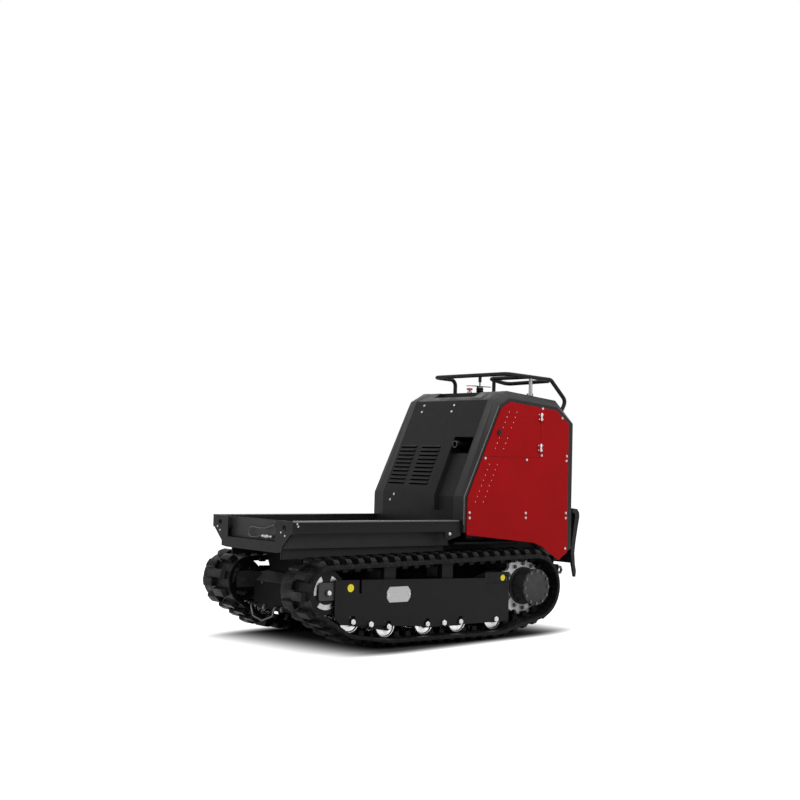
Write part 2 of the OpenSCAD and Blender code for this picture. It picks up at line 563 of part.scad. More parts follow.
// Load deck
rim_z = deck_z + rim_h;
wall_low = 464;
skirt_y = belt_y - belt_w / 2 - 8;
skirt_low = 412;
lip_z = [445, 496];
wall_x = deck_l - recess_d;
cheek_in = 214;
ledge_drop = 4;
lug_hole = [76, 529];
lug_pin_r = 8;
module cheek() rotate([90, 0, 90]) linear_extrude(deck_t) difference() {
    polygon([[deck_w / 2, rim_z - 3], [deck_w / 2, deck_z], [deck_box_w / 2 + 8, lip_z[1] - 22],
        [deck_box_w / 2 + 7, lip_z[0] + 5], [cheek_in + 6, lip_z[0]], [cheek_in, lip_z[0]],
        [cheek_in, rim_z - 3]]);
    translate([cheek_hole_gap / 2, cheek_hole_z]) circle(r = cheek_hole_r);
}
module deck_pan() color("#454545") placed() {
    box([gap, wall_x], [-deck_w / 2, deck_w / 2], [deck_z - deck_t, deck_z]);
    both() {
        box([gap, deck_l], [deck_w / 2 - deck_t, deck_w / 2], [deck_z - ledge_drop - 1, rim_z - rim_bead_r]);
        rod_x(gap, deck_w / 2 - deck_t / 2, rim_z - rim_bead_r, deck_l - gap, rim_bead_r);
        box([gap, wall_x], [skirt_y - deck_t, skirt_y], [skirt_low, deck_z - deck_t + 1]);
        box([wall_x - 1, deck_l - 1], [cheek_in, deck_w / 2],
            [deck_z - ledge_drop - deck_t, deck_z - ledge_drop]);
        box([gap, deck_l - 1], [deck_box_w / 2 - deck_t, deck_box_w / 2], [wall_low, deck_z - deck_t + 1]);
        translate([deck_l - deck_t, 0, 0]) cheek();
        box([gap, chassis_front - 121], [rail_in + 5, rail_out - 5], [rails_z + gap, deck_z - deck_t + 1]);
        difference() {
            slab(deck_w / 2 - deck_t, deck_t)
                polygon([[107, deck_z - 1], [105, 509], [79, 499], [2, 520], [2, deck_z - 1]]);
            rod(lug_hole.x, lug_hole.y, deck_w / 2 - deck_t - 1, deck_t + 2, lug_pin_r + gap);
        }
    }
    box([deck_l - deck_t, deck_l], [-215, 215], lip_z);
    box([wall_x - deck_t, deck_l - 1], [-218, 218], [lip_z[0], lip_z[0] + deck_t]);
    box([wall_x - deck_t, wall_x], [-deck_box_w / 2, deck_box_w / 2], [wall_low, rim_z - 6]);
    box([wall_x - deck_t, wall_x], [-218, 218], [lip_z[0], wall_low + 1]);
}
module deck_lug_pins() color("silver") placed() both() {
    rod(lug_hole.x, lug_hole.y, deck_w / 2 - deck_t - 10, deck_t + 14, lug_pin_r);
    rod(lug_hole.x, lug_hole.y, deck_w / 2 + 3, 5, lug_pin_r - 3);
    rod(lug_hole.x, lug_hole.y, deck_w / 2 - deck_t - 12, 11, lug_pin_r + 3);
}

// Hose looped on the deck's front wall, between two fittings
hose_r = 3;
hose_x = wall_x + 14;
hose_start = [190, 572];
hose_end = [78, 515];
loop_at = [-22.5, 530];
hose_turn = 23.5;
hose_loop = [for (a = [90:22.5:270]) loop_at + hose_turn * [cos(a), sin(a)]];
hose_bends = concat([[170, 569.5], [150, 564.6], [122, 557.8], [94, 553.4], [62, 551.8], [30, 552.6],
    [2, 553.5]], hose_loop, [[4, 507.2], [32, 510], [56, 513.4]]);
hose_route = [for (p = concat([hose_start], hose_bends, [hose_end])) [hose_x, p.x, p.y]];
module service_hose() color("#222222") placed() sweep(hose_route, hose_r, 8);
module hose_fittings() color("silver") placed() {
    rod(hose_x, hose_end.y, hose_end.x + gap, 20, hose_r + 5, $fn = 6);
    rod(hose_x, hose_end.y, hose_end.x + 19, 54, hose_r + 2);
    rod(hose_x, hose_end.y, hose_end.x + 36, 21, hose_r + 6, $fn = 6);
    rod(hose_x, hose_end.y, hose_end.x + 71, 15, hose_r + 4, $fn = 6);
    box([wall_x + gap, hose_x], [hose_end.x + 22, hose_end.x + 38], [hose_end.y - 8, hose_end.y + 8]);
    box([wall_x + gap, hose_x + 8], [hose_start.x + gap, hose_start.x + 10],
        [hose_start.y - 10, hose_start.y + 10]);
}

// Engine house: base, side frames, panels
module house_base() color("#3c3c3c") placed() {
    box([-house_l + 12, -12], [-middle_w / 2 + gap, middle_w / 2 - gap], [470, 482]);
    both() box([-house_l + 40, -12], [rail_in + 5, rail_out - 5], [rails_z + gap, 471]);
}
frame_in = middle_w / 2;
door_rim = 14;
module shouldered(d) hull() {
    slab(frame_in - 1, min(roof_w / 2, skin_y - d) - frame_in + 1) polygon(inset(tall_outline, d));
    slab(skin_y - 1 - d, 1) polygon(inset(shoulder_outline, d));
}
module side_frame() difference() {
    intersection() {
        slab(frame_in, house_w) polygon(side_outline);
        shouldered(0);
    }
    intersection() {
        slab(frame_in - 1, house_w) polygon(inset(side_outline, sheet_t));
        shouldered(sheet_t);
    }
    slab(skin_y - sheet_t - 1, sheet_t + 2) polygon(inset(door_outline, door_rim));
}
module left_side_frame() color("#3a3a3a") placed() side_frame();
module right_side_frame() color("#3a3a3a") placed() opposite() side_frame();
// Red panels on the side frame, short of its rear edge, split at the door's seam and hinge line
rear_strip = 20;
panel_shift = [[0, 0], [0, 0], [0, 0], [0, 0], [rear_strip, rear_strip / 2], [rear_strip, 0], [0, 0]];
panel_upper = inset(shoulder_outline + panel_shift, panel_inset);
panel_outline = concat([for (i = [0:4]) panel_upper[i]], panel_skirt);
seam = 1.6;
front_at_seam = meet(panel_outline[0], panel_outline[1] - panel_outline[0], [0, door_seam_z], [1, 0]);
roof_at_hinge = meet(panel_outline[2], panel_outline[3] - panel_outline[2], [-hinge_back, 0], [0, 1]);
door_outline = [front_at_seam, panel_outline[1], panel_outline[2], roof_at_hinge,
    [-hinge_back, door_seam_z]];
door_cut = [front_at_seam + [60, -seam], panel_outline[1] + [60, 60], panel_outline[2] + [0, 60],
    roof_at_hinge + [-seam, 60], [-hinge_back - seam, door_seam_z - seam]];
module lower_panel() slab(skin_y + gap, panel_t - gap) difference() {
    polygon(panel_outline);
    polygon(door_cut);
}
hinge_zs = [958, 1122];
hinge_h = 41;
hinge_w = 19;
leaf_in = hinge_r + 1;
leaf_t = 3;
knuckle_h = hinge_h / 2 - 1;
module door() {
    difference() {
        slab(skin_y + gap, panel_t - gap) polygon(door_outline);
        rod(lock_at.x, lock_at.y, skin_y - 1, panel_t + 2, lock_r + run);
    }
    for (z = hinge_zs) difference() {
        union() {
            box([-hinge_back + leaf_in, -hinge_back + hinge_w], [side_y - 1, side_y + leaf_t],
                [z, z + hinge_h]);
            box([-hinge_back, -hinge_back + leaf_in + 1], [side_y + gap, side_y + leaf_t],
                [z, z + knuckle_h]);
            translate([-hinge_back, hinge_y, z]) cylinder(h = knuckle_h, r = hinge_r);
        }
        translate([-hinge_back, hinge_y, z - 1]) cylinder(h = hinge_h, r = hinge_r / 2 + run);
    }
}
module hinge_pin(z) {
    translate([-hinge_back, hinge_y, z - 4]) cylinder(h = hinge_h / 2 + 4, r = hinge_r / 2);
    translate([-hinge_back, hinge_y, z + knuckle_h + gap]) cylinder(h = knuckle_h + 1, r = hinge_r);
    box([-hinge_back - leaf_in - 1, -hinge_back], [side_y + gap, side_y + leaf_t],
        [z + knuckle_h + gap, z + hinge_h]);
    box([-hinge_back - hinge_w, -hinge_back - leaf_in], [side_y + gap, side_y + leaf_t], [z, z + hinge_h]);
    translate([-hinge_back, hinge_y, z - 5]) cylinder(h = 5 - gap, r = hinge_r - 1);
}
module left_lower_panel() color("firebrick") placed() lower_panel();
module right_lower_panel() color("firebrick") placed() opposite() lower_panel();
module left_door() color("firebrick") placed() door();
module right_door() color("firebrick") placed() opposite() door();
module door_hinge_pins() color("silver") placed() both() for (z = hinge_zs) hinge_pin(z);
module door_lock() {
    rod(lock_at.x, lock_at.y, skin_y - 14, panel_t + 14 + gap, lock_r);
    rod(lock_at.x, lock_at.y, side_y + gap, 5, lock_r + 3);
    box([lock_at.x - 8, lock_at.x + 8], [side_y + 5, side_y + 8], [lock_at.y - 2, lock_at.y + 2]);
    box([lock_at.x - 6, lock_at.x + 6], [skin_y - 14, skin_y - 9], [lock_at.y - 30, lock_at.y + 2]);
}
module left_door_lock() color("black") placed() door_lock();
module right_door_lock() color("black") placed() opposite() door_lock();

// Middle panels follow the house outline, set in from the side frames
panel_step = 1;
middle_outline = inset(tall_outline, panel_step);
recess_depth = 33;
recess_y = [135, 286];
recess_foot = 640;
recess_head = 1024;
outlet_y = [recess_y[0] + 1, recess_y[1] - 6];
outlet_z = [938, recess_head - 6];
core = [-420, 900];
module skin(y, d) slab(y[0], y[1] - y[0]) difference() {
    polygon(inset(tall_outline, d));
    polygon(inset(tall_outline, d + sheet_t));
}
module wedge(pts) slab(-house_w, 2 * house_w) polygon(concat([core], pts));
function from_core(p) = core + 3 * (p - core);
brow_corner = middle_outline[1];
rear_corner = middle_outline[3];
front_wedge = [[core.x, deck_z - 3], [600, deck_z - 3], [600, bend_z + 500], from_core(brow_corner)];
roof_wedge = [from_core(brow_corner + [-gap, gap]), from_core(rear_corner)];
rear_wedge = [from_core(rear_corner - [gap, gap]), [-1500, 900], [-1500, 300], [-700, 300]];
louvre_foot = 768;
louvre_rise = (louvre_foot - bend_z) / cos(lean);
louvre_ys = [[max(-302, -frame_in + 12), -302 + louvre_l], [-104, -104 + louvre_l]];
module front_panel() color("#404040") placed() {
    difference() {
        intersection() {
            skin([-frame_in + gap, frame_in - gap], panel_step);
            wedge(front_wedge);
        }
        box([-400, 100], recess_y, [recess_foot, recess_head]);
        for (y = louvre_ys) for (i = [0:louvre_rows - 1])
            translate([0, 0, bend_z]) rotate([0, -lean, 0])
                translate([0, 0, louvre_rise + i * louvre_pitch]) box([-60, 60], y, [0, louvre_slit]);
    }
    difference() {
        intersection() {
            skin([recess_y[0] - sheet_t, recess_y[1] + sheet_t], panel_step + recess_depth);
            box([-400, 100], [0, house_w], [recess_foot - sheet_t, recess_head + sheet_t]);
            wedge(front_wedge);
        }
        box([-400, 100], outlet_y, outlet_z);
    }
    intersection() {
        for (y = [recess_y[0] - sheet_t, recess_y[1]]) slab(y, sheet_t) difference() {
            polygon(inset(tall_outline, panel_step));
            polygon(inset(tall_outline, panel_step + recess_depth + sheet_t));
        }
        box([-400, 100], [0, house_w], [recess_foot - sheet_t, recess_head + sheet_t]);
        wedge(front_wedge);
    }
    intersection() {
        slab(recess_y[0] - sheet_t, recess_y[1] - recess_y[0] + 2 * sheet_t) difference() {
            polygon(inset(tall_outline, panel_step));
            polygon(inset(tall_outline, panel_step + recess_depth + sheet_t));
        }
        for (z = [recess_foot - sheet_t, recess_head]) box([-400, 100], [0, house_w], [z, z + sheet_t]);
        wedge(front_wedge);
    }
}
// Roof with a tray for the controls
tray_x = [-600, -330];
tray_y = [-200, 150];
tray_d = 24;
tray_z = roof_rear_z - tray_d;
pocket_x = [-roof_front_back - 9, -brow_back];
pocket_y = [-193, 144];
pocket_z = brow_z + 21;
sky = roof_front_z + 100;
module pan(x, y, z) difference() {
    intersection() {
        box([x[0] - sheet_t, x[1] + sheet_t], [y[0] - sheet_t, y[1] + sheet_t], [z - sheet_t, sky]);
        slab(-house_w, 2 * house_w) polygon(middle_outline);
    }
    box(x, y, [z, sky + 1]);
}
module top_panel() color("#404040") placed() {
    difference() {
        intersection() {
            skin([-frame_in + gap, frame_in - gap], panel_step);
            wedge(roof_wedge);
        }
        box(tray_x, tray_y, [tray_z, sky]);
        box(pocket_x, pocket_y, [pocket_z, sky]);
    }
    pan(tray_x, tray_y, tray_z);
    pan(pocket_x, pocket_y, pocket_z);
}
module rear_panel() color("#404040") placed() intersection() {
    skin([-frame_in + gap, frame_in - gap], panel_step);
    wedge(rear_wedge);
    box([-house_l - 1, 0], [-house_w, house_w], [482 + gap, 2000]);
}

// Guard rail over the controls
function roof_at(x) = roof_front_z - panel_step + (x + roof_front_back) * roof_slope;
tail_slope = (roof_rear_z - tail_z) / (house_l - 2 - roof_rear_back);
function slope_at(x) = roof_rear_z - (-roof_rear_back - x) * tail_slope;
rail_front = -317;
rail_back = -640;
rail_far = -262;
leg_x = -471;
loop_x = -486;
loop_back = -622;
loop_y = 6;
foot_x = -722;
rail_drop = roof_slope * (rail_front - rail_back) / 2;
hoop_route = [[leg_x, rail_far, roof_at(leg_x) + 1], [leg_x, rail_far, rail_z - 6],
    [rail_front, rail_far, rail_z], [rail_front, rail_y, rail_z], [rail_back, rail_y, rail_z - rail_drop],
    [-757, rail_y, 1240], [foot_x, rail_y, slope_at(foot_x) + 5]];
loop_route = [[loop_x, rail_y, rail_z - 8], [loop_x, loop_y, rail_z - 8],
    [loop_back, loop_y, rail_z - rail_drop - 14], [loop_back, rail_y, rail_z - rail_drop - 8]];
module guard_rail() color("#303030") placed() {
    sweep(bent(hoop_route, rail_bend, 6), rail_r, 12);
    sweep(bent(loop_route, rail_bend, 6), rail_r, 12);
    translate([loop_x, 45, tray_z + gap]) cylinder(h = rail_z - 8 - tray_z - gap, r = rail_r - 1);
}
post_x = loop_x - 4;
post_top = rail_z - rail_drop * (rail_front - post_x) / (rail_front - rail_back) - rail_r - 0.8;
module guard_post() color("silver") placed() difference() {
    union() {
        translate([post_x, rail_y, roof_at(post_x)]) cylinder(h = post_top - roof_at(post_x), r = post_r);
        translate([post_x, rail_y - 4, roof_at(post_x)]) cylinder(h = 14, r = post_r + 8);
    }
    translate([0, 0, gap]) slab(0, house_w) polygon(tall_outline);
}

// Controls in the tray
console_x = [-524, -397];
console_w = 44;
console_r = 17;
slot_y = 12;
lever_pin_r = 4;
stem_r = 6;
button_z = tray_z + 66;
module control_console() color("#b0b0b0") placed() {
    difference() {
        union() {
            translate([pivot_lever.x, pivot_lever.y, tray_z + gap])
                cylinder(h = console_z - tray_z - gap, r = console_r);
            translate([pivot_lever.x, pivot_lever.y, tray_z + gap]) cylinder(h = 7, r = console_r + 12);
            box(console_x, [pivot_lever.y - console_w / 2, pivot_lever.y + console_w / 2],
                [console_z - 1, console_z + 4]);
            for (x = console_x) translate([x, pivot_lever.y, console_z - 1])
                cylinder(h = 5, r = console_w / 2);
        }
        box([pivot_lever.x - 24, pivot_lever.x + 24],
            [pivot_lever.y - slot_y / 2, pivot_lever.y + slot_y / 2], [pivot_lever.z - 18, console_z + 5]);
    }
    rod(pivot_lever.x, pivot_lever.z, pivot_lever.y - console_r + 3, 2 * console_r - 6, lever_pin_r);
    difference() {
        translate([button_at.x, button_at.y, tray_z + gap]) cylinder(h = button_z - tray_z - gap, r = 13);
        translate([button_at.x, button_at.y, tray_z + 30]) cylinder(h = 62, r = stem_r + run);
    }
}
module control_lever() color("#252525") placed() difference() {
    union() {
        rod(pivot_lever.x, pivot_lever.z, pivot_lever.y - slot_y / 2 + 0.5, slot_y - 1, 10);
        translate(pivot_lever) cylinder(h = lever_l, r = 4);
        translate(pivot_lever + [0, 0, lever_l - 8]) cylinder(h = 26, r = 9);
        translate(pivot_lever + [0, 0, lever_l + 18]) sphere(r = 9);
    }
    rod(pivot_lever.x, pivot_lever.z, pivot_lever.y - slot_y, 2 * slot_y, lever_pin_r + run);
}
module stop_button() color("red") placed() {
    translate([button_at.x, button_at.y, tray_z + 40])
        cylinder(h = button_z - tray_z - 40 + button_travel + 2, r = stem_r);
    translate([button_at.x, button_at.y, button_z + button_travel + 1]) cylinder(h = 12, r = button_r);
}

// Rear bumper on two arms
pad_y = bumper_w / 2;
foot_t = 14;
module rear_bumper() color("#2c2c2c") placed() {
    difference() {
        slab(-pad_y, bumper_w) translate([-bumper_back, 0])
            polygon([[55, 656], [18, 652], [2, 632], [0, 608], [13, 545], [26, 476], [34, 411], [28, 350],
                [18, 312], [22, 280], [34, 280], [52, 350], [62, 411], [55, 476], [44, 545], [34, 608],
                [36, 626], [55, 634]]);
        box([-bumper_back - 1, -bumper_back + 80], [foot_t - pad_y, pad_y - foot_t], [279, 356]);
    }
    both() difference() {
        union() {
            slab(218, 14) polygon([[bumper_pivot.x, bumper_pivot.y + 15],
                [bumper_pivot.x, bumper_pivot.y - 15], [-bumper_back + 48, bumper_pivot.y - 20],
                [-bumper_back + 48, bumper_pivot.y + 20]]);
            rod(bumper_pivot.x, bumper_pivot.y, 218, 14, 15);
        }
        rod(bumper_pivot.x, bumper_pivot.y, 217, 16, bumper_pin_r + run);
    }
}

// What the house holds
floor_z = 482 + gap;
module engine_block() color("#6a6a6a") placed() {
    box([-500, -220], [-150, 150], [floor_z, 700]);
    box([-470, -250], [-110, 70], [699, 860]);
    for (i = [0:7]) box([-480, -240], [-120, 80], [712 + 18 * i, 720 + 18 * i]);
    rod(-360, 600, 149, 60, 90);
}
tail_r = 18;
tail_pipe = [-112, 160, 985];
module exhaust() color("#808080") placed() {
    rod(-330, 930, -120, 300, 52);
    box([-350, -310], [20, 60], [860 + gap, 885]);
    difference() {
        rod_x(-330, tail_pipe.y, tail_pipe.z, 330 + tail_pipe.x, tail_r);
        rod_x(-240, tail_pipe.y, tail_pipe.z, 300, tail_r - 3);
    }
}
module hydraulic_pump() color("#707070") placed() {
    rod_x(-640, 0, 600, 140 - gap, 60);
    box([-720, -639], [-70, 70], [floor_z, 670]);
}
module tanks() color("#5a5a5a") placed() {
    box([-720, -520], [90, 280], [floor_z, 860]);
    box([-720, -520], [-280, -90], [floor_z, 860]);
    translate([-620, 185, 859]) cylinder(h = 40, r = 30);
    translate([-620, -185, 859]) cylinder(h = 40, r = 30);
}
module battery() color("#202020") placed() {
    box([-190, -60], [-260, -60], [floor_z, 660]);
    for (y = [-230, -90]) translate([-125, y, 659]) cylinder(h = 16, r = 9);
}

chassis_frame();
cross_beams();
tow_fittings();
left_track_frame();
right_track_frame();
left_track_cover();
right_track_cover();
left_track_belt();
right_track_belt();
left_sprocket();
right_sprocket();
left_drive_hub();
right_drive_hub();
drive_motors();
left_idler();
right_idler();
left_idler_yoke();
right_idler_yoke();
left_roller_1();
left_roller_2();
left_roller_3();
left_roller_4();
left_roller_5();
right_roller_1();
right_roller_2();
right_roller_3();
right_roller_4();
right_roller_5();
left_front_bogie();
left_rear_bogie();
right_front_bogie();
right_rear_bogie();
deck_pan();
deck_lug_pins();
service_hose();
hose_fittings();
house_base();
left_side_frame();
right_side_frame();
front_panel();
top_panel();
rear_panel();
left_lower_panel();
right_lower_panel();
left_door();
right_door();
left_door_lock();
right_door_lock();
door_hinge_pins();
guard_rail();
guard_post();
control_console();
control_lever();
stop_button();
rear_bumper();
engine_block();
exhaust();
hydraulic_pump();
tanks();
battery();
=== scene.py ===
"""Looks of the tracked power carrier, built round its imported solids."""

import json
import math

import bmesh
import bpy
from mathutils import Matrix, Vector
from mathutils.geometry import interpolate_bezier

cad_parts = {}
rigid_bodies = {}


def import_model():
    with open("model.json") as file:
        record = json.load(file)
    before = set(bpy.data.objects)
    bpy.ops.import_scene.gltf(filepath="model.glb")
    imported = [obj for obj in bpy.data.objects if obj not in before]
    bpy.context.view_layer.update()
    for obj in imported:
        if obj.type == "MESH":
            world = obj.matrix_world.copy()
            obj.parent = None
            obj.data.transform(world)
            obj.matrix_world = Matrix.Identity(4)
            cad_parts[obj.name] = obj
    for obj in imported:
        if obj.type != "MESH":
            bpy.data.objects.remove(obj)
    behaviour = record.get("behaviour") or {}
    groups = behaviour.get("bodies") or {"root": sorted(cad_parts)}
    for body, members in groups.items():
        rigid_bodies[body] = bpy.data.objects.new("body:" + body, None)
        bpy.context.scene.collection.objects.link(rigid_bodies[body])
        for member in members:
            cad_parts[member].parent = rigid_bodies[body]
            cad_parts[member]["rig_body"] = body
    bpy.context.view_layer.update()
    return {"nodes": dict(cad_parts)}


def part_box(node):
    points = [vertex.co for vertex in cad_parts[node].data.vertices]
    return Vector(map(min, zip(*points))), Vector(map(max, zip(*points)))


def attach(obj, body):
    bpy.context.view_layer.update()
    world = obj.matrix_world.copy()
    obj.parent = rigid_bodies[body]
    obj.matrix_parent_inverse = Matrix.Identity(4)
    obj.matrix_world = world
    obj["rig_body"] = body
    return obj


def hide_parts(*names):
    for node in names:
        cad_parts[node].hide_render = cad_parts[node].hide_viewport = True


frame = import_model()

bl_info = {
    "name": "Tracked Power Carrier",
    "version": (1, 0, 0),
    "blender": (4, 5, 0),
    "location": "3D View > Sidebar > Carrier",
    "description": "Dresses the solids of a tracked carrier and sets its studio stage",
    "category": "Object",
}

# The house front's foot is where the object's own lengths are counted from, in millimetres
HOUSE_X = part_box("left_side_frame")[1].x
PANEL_Y = 380.0
LEAN = math.radians(23.47)
BEND_Z = 720.0
PANEL_STEP = 1.0
LEAN_OUT = Vector((math.cos(LEAN), 0, math.sin(LEAN)))
UP = Vector((0, 0, 1))
ROOF_UP = Vector((-0.0924, 0, 1)).normalized()
BROW_UP = Vector((0.482, 0, 0.876))
FORWARD = Vector((1, 0, 0))
NOSE_UP = Vector((48, 0, 60)).normalized()
SIDES = (("left", 1), ("right", -1))
SPROCKET = (-425.0, 255.0)
ROLLER_COUNT = 5
PIVOTS = ((632.0, 118.37), (181.0, 102.0), (-164.0, 102.0))
COVER_FACE = 448.0
BRACKET_FACE = 442.8
# Folds sharper than these, in degrees, shade as edges and are rounded
SHARP, EASED = 35.0, 40.0
# Thickness of the thin sheets that lie on the painted solids, in metres
SHEET = 0.0009


def colour(name, description, default):
    """A colour that the panel offers."""
    return bpy.props.FloatVectorProperty(name=name, description=description, default=default,
                                         size=3, min=0, max=1, subtype="COLOR")


def length(name, description, default):
    """A length that the panel offers, in metres."""
    return bpy.props.FloatProperty(name=name, description=description, default=default,
                                   min=0, precision=4, unit="LENGTH")


def angle(name, description, degrees):
    """An angle that the panel offers."""
    return bpy.props.FloatProperty(name=name, description=description, default=math.radians(degrees),
                                   subtype="ANGLE")


class CarrierColours(bpy.types.PropertyGroup):
    """Colours of the carrier's finishes"""

    black_paint: colour("Black paint", "Powder coat of the house and deck", (0.0068, 0.0069, 0.0072))
    frame_paint: colour("Frame paint", "Paint of the track frames", (0.0070, 0.0070, 0.0073))
    # The chassis paint is a darker copy of the black paint: painted shade under the deck, on a duller sheen
    chassis_paint: colour("Chassis paint", "Dull paint of the chassis", (0.0034, 0.0034, 0.0036))
    red_paint: colour("Red paint", "Paint of the side panels and doors", (0.325, 0.0024, 0.0038))
    rubber: colour("Belt rubber", "Rubber of the tracks", (0.0036, 0.0036, 0.0038))
    # The hose is black; its grey cover colour stands in for its glossy sheen: painted sheen
    hose: colour("Hose cover", "Cover of the service hose", (0.085, 0.085, 0.087))
    plastic: colour("Black plastic", "Knob, locks and bumper pad", (0.008, 0.008, 0.0083))
    button: colour("Stop button", "Cap of the stop button", (0.52, 0.012, 0.03))
    zinc: colour("Zinc plate", "Screws, hinges and fittings", (0.52, 0.52, 0.53))
    steel: colour("Polished steel", "Rollers and idlers of the tracks", (0.62, 0.62, 0.63))
    plate_steel: colour("Plate steel", "Toothed plates of the drive", (0.90, 0.90, 0.905))
    dark_steel: colour("Dark steel", "Tow fittings, tail pipe, drive and chassis bolts", (0.10, 0.10, 0.102))
    chrome: colour("Chrome plate", "Post and control plate", (0.19, 0.19, 0.195))
    casting: colour("Casting", "Engine, pump and motors", (0.13, 0.13, 0.135))
    plate: colour("Bare plate", "Blank plate on the track cover", (0.34, 0.34, 0.34))
    marker: colour("Marker discs", "Blank discs on the track cover", (0.84, 0.72, 0.03))


class CarrierSizes(bpy.types.PropertyGroup):
    """Small sizes of the carrier's trim"""

    sheet_ease: length("Sheet edge", "Rounding of folded sheet edges", 0.0022)
    frame_ease: length("Frame edge", "Rounding of plate and beam edges", 0.0018)
    tread_ease: length("Tread edge", "Rounding of the moulded tread blocks", 0.0035)
    screw_r: length("Panel screw", "Radius of a panel screw's head", 0.0054)
    rivet_r: length("Panel rivet", "Radius of a panel rivet's head", 0.0020)
    rail_r: length("Rail tube", "Radius of the guard rail's tube", 0.011)
    rail_bend: length("Rail bend", "Radius of the guard rail's bends", 0.034)
    hose_d: length("Hose", "Diameter of the service hose", 0.006)
    lug_slope: length("Tread slope", "How far the ends of the tread blocks slope", 0.015)
    hood: length("Louvre hood", "How far a louvre's hood stands out", 0.004)


class CarrierStage(bpy.types.PropertyGroup):
    """Camera and light of the studio stage"""

    camera_at: bpy.props.FloatVectorProperty(
        name="Camera place", description="Place of the camera", default=(4.37026, 5.41576, 0.87736),
        size=3, subtype="XYZ", unit="LENGTH")
    azimuth: angle("Azimuth", "Camera's turn about the vertical", 141.5826)
    elevation: angle("Elevation", "Camera's tilt, above the horizon", -2.7372)
    roll: angle("Roll", "Camera's turn about its own axis", 1.5227)
    lens: bpy.props.FloatProperty(
        name="Lens", description="Focal length on a 36 mm sensor", default=59.505, unit="CAMERA")
    ambient: bpy.props.FloatProperty(
        name="Ambient", description="Light of the surroundings on the object", default=0.42, min=0)


def at(x, y, z):
    """A point in metres, from the object's own lengths in millimetres."""
    return Vector((HOUSE_X + x / 1000, y / 1000, z / 1000))


def on_front(y, z):
    """A point on the house's recessed front panel."""
    if z <= BEND_Z:
        return at(-PANEL_STEP, y, z)
    return at(-(z - BEND_Z) * math.tan(LEAN) - PANEL_STEP / math.cos(LEAN), y, z)


def seat(point, normal):
    """The frame of a small part that stands on a face."""
    return Matrix.Translation(point) @ normal.to_track_quat("Z", "Y").to_matrix().to_4x4()


def hand(name, side):
    """A left piece's name for either side."""
    return name.replace("left_", side + "_", 1)


# Finishes


def added(tree, kind, links=(), **values):
    """A new shader node, with its values set and its inputs linked or filled."""
    made = tree.nodes.new(kind)
    for key, value in values.items():
        setattr(made, key, value)
    for name, value in links:
        if isinstance(value, bpy.types.NodeSocket):
            tree.links.new(value, made.inputs[name])
        else:
            made.inputs[name].default_value = value
    return made


class Finish:
    """One procedural material on Object coordinates."""

    def __init__(self, name, metallic=0.0, specular=0.5, coat=0.0):
        self.material = bpy.data.materials.new(name)
        self.material.use_nodes = True
        self.tree = self.material.node_tree
        self.shader = self.tree.nodes["Principled BSDF"]
        for key, value in (("Metallic", metallic), ("Specular IOR Level", specular), ("Coat Weight", coat)):
            self.shader.inputs[key].default_value = value
        self.place = self.tree.nodes.new("ShaderNodeTexCoord").outputs["Object"]
        self.bumped = None

    def node(self, kind, links=(), **values):
        return added(self.tree, kind, links, **values)

    def stretched(self, scale, location=(0, 0, 0)):
        """Object coordinates drawn out along one axis, or centred on a piece."""
        return self.node("ShaderNodeMapping",
                         (("Vector", self.place), ("Scale", scale), ("Location", location))).outputs[0]

    def noise(self, scale, detail, place=None):
        links = (("Vector", place or self.place), ("Scale", scale), ("Detail", detail))
        return self.node("ShaderNodeTexNoise", links).outputs["Fac"]

    def cells(self, scale):
        return self.node("ShaderNodeTexVoronoi", (("Vector", self.place), ("Scale", scale))).outputs[0]

    def span(self, value, low, high, start=0.3, stop=0.7):
        """A value's range carried over to another."""
        return self.node("ShaderNodeMapRange", (("Value", value), ("From Min", start), ("From Max", stop),
                                                ("To Min", low), ("To Max", high))).outputs[0]

    def blend(self, factor, first, second):
        """A mix of two colours, each a socket or plain."""
        ends = [end if isinstance(end, bpy.types.NodeSocket) else (*end, 1) for end in (first, second)]
        links = ((0, factor), (6, ends[0]), (7, ends[1]))
        return self.node("ShaderNodeMix", links, data_type="RGBA").outputs[2]

    def mottle(self, base, low, high, pattern, start=0.3, stop=0.7):
        """Tints the finish between two shades of one colour."""
        self.tint(self.blend(self.span(pattern, 0, 1, start, stop), shade(base, low), shade(base, high)))

    def tint(self, value):
        """Sets the colour."""
        self.tree.links.new(value, self.shader.inputs["Base Color"])

    def rough(self, pattern, low, high):
        """Sets the roughness between two values."""
        self.tree.links.new(self.span(pattern, low, high), self.shader.inputs["Roughness"])

    def bump(self, height, distance):
        """Adds a relief on top of those before it."""
        links = [("Height", height), ("Strength", 1.0), ("Distance", distance)]
        if self.bumped:
            links.append(("Normal", self.bumped))
        self.bumped = self.node("ShaderNodeBump", links).outputs[0]
        self.tree.links.new(self.bumped, self.shader.inputs["Normal"])


def shade(base, share):
    """A colour made darker or lighter."""
    return tuple(min(1.0, channel * share) for channel in base)


def powder_coat(name, base, rough, specular):
    """Sprayed powder coat: faint mottle, orange peel and uneven sheen."""
    made = Finish(name, specular=specular)
    made.mottle(base, 0.92, 1.08, made.noise(5.5, 5))
    made.rough(made.noise(22, 4), rough - 0.05, rough + 0.07)
    made.bump(made.noise(620, 2), 0.00022)
    made.bump(made.noise(140, 2), 0.00018)
    return made.material


def moulded_rubber(name, base, scuff, specular, rough):
    """Moulded rubber with a dull skin and pale scuffs."""
    made = Finish(name, specular=specular)
    skin = made.blend(made.span(made.noise(14, 5), 0, 1), shade(base, 0.75), shade(base, 1.35))
    marks = made.span(made.noise(70, 6), 0, 1, 0.56, 0.74)
    made.tint(made.blend(marks, skin, scuff))
    made.rough(made.noise(40, 4), rough, rough + 0.22)
    made.bump(made.noise(900, 3), 0.0003)
    made.bump(made.noise(120, 4), 0.0005)
    return made.material


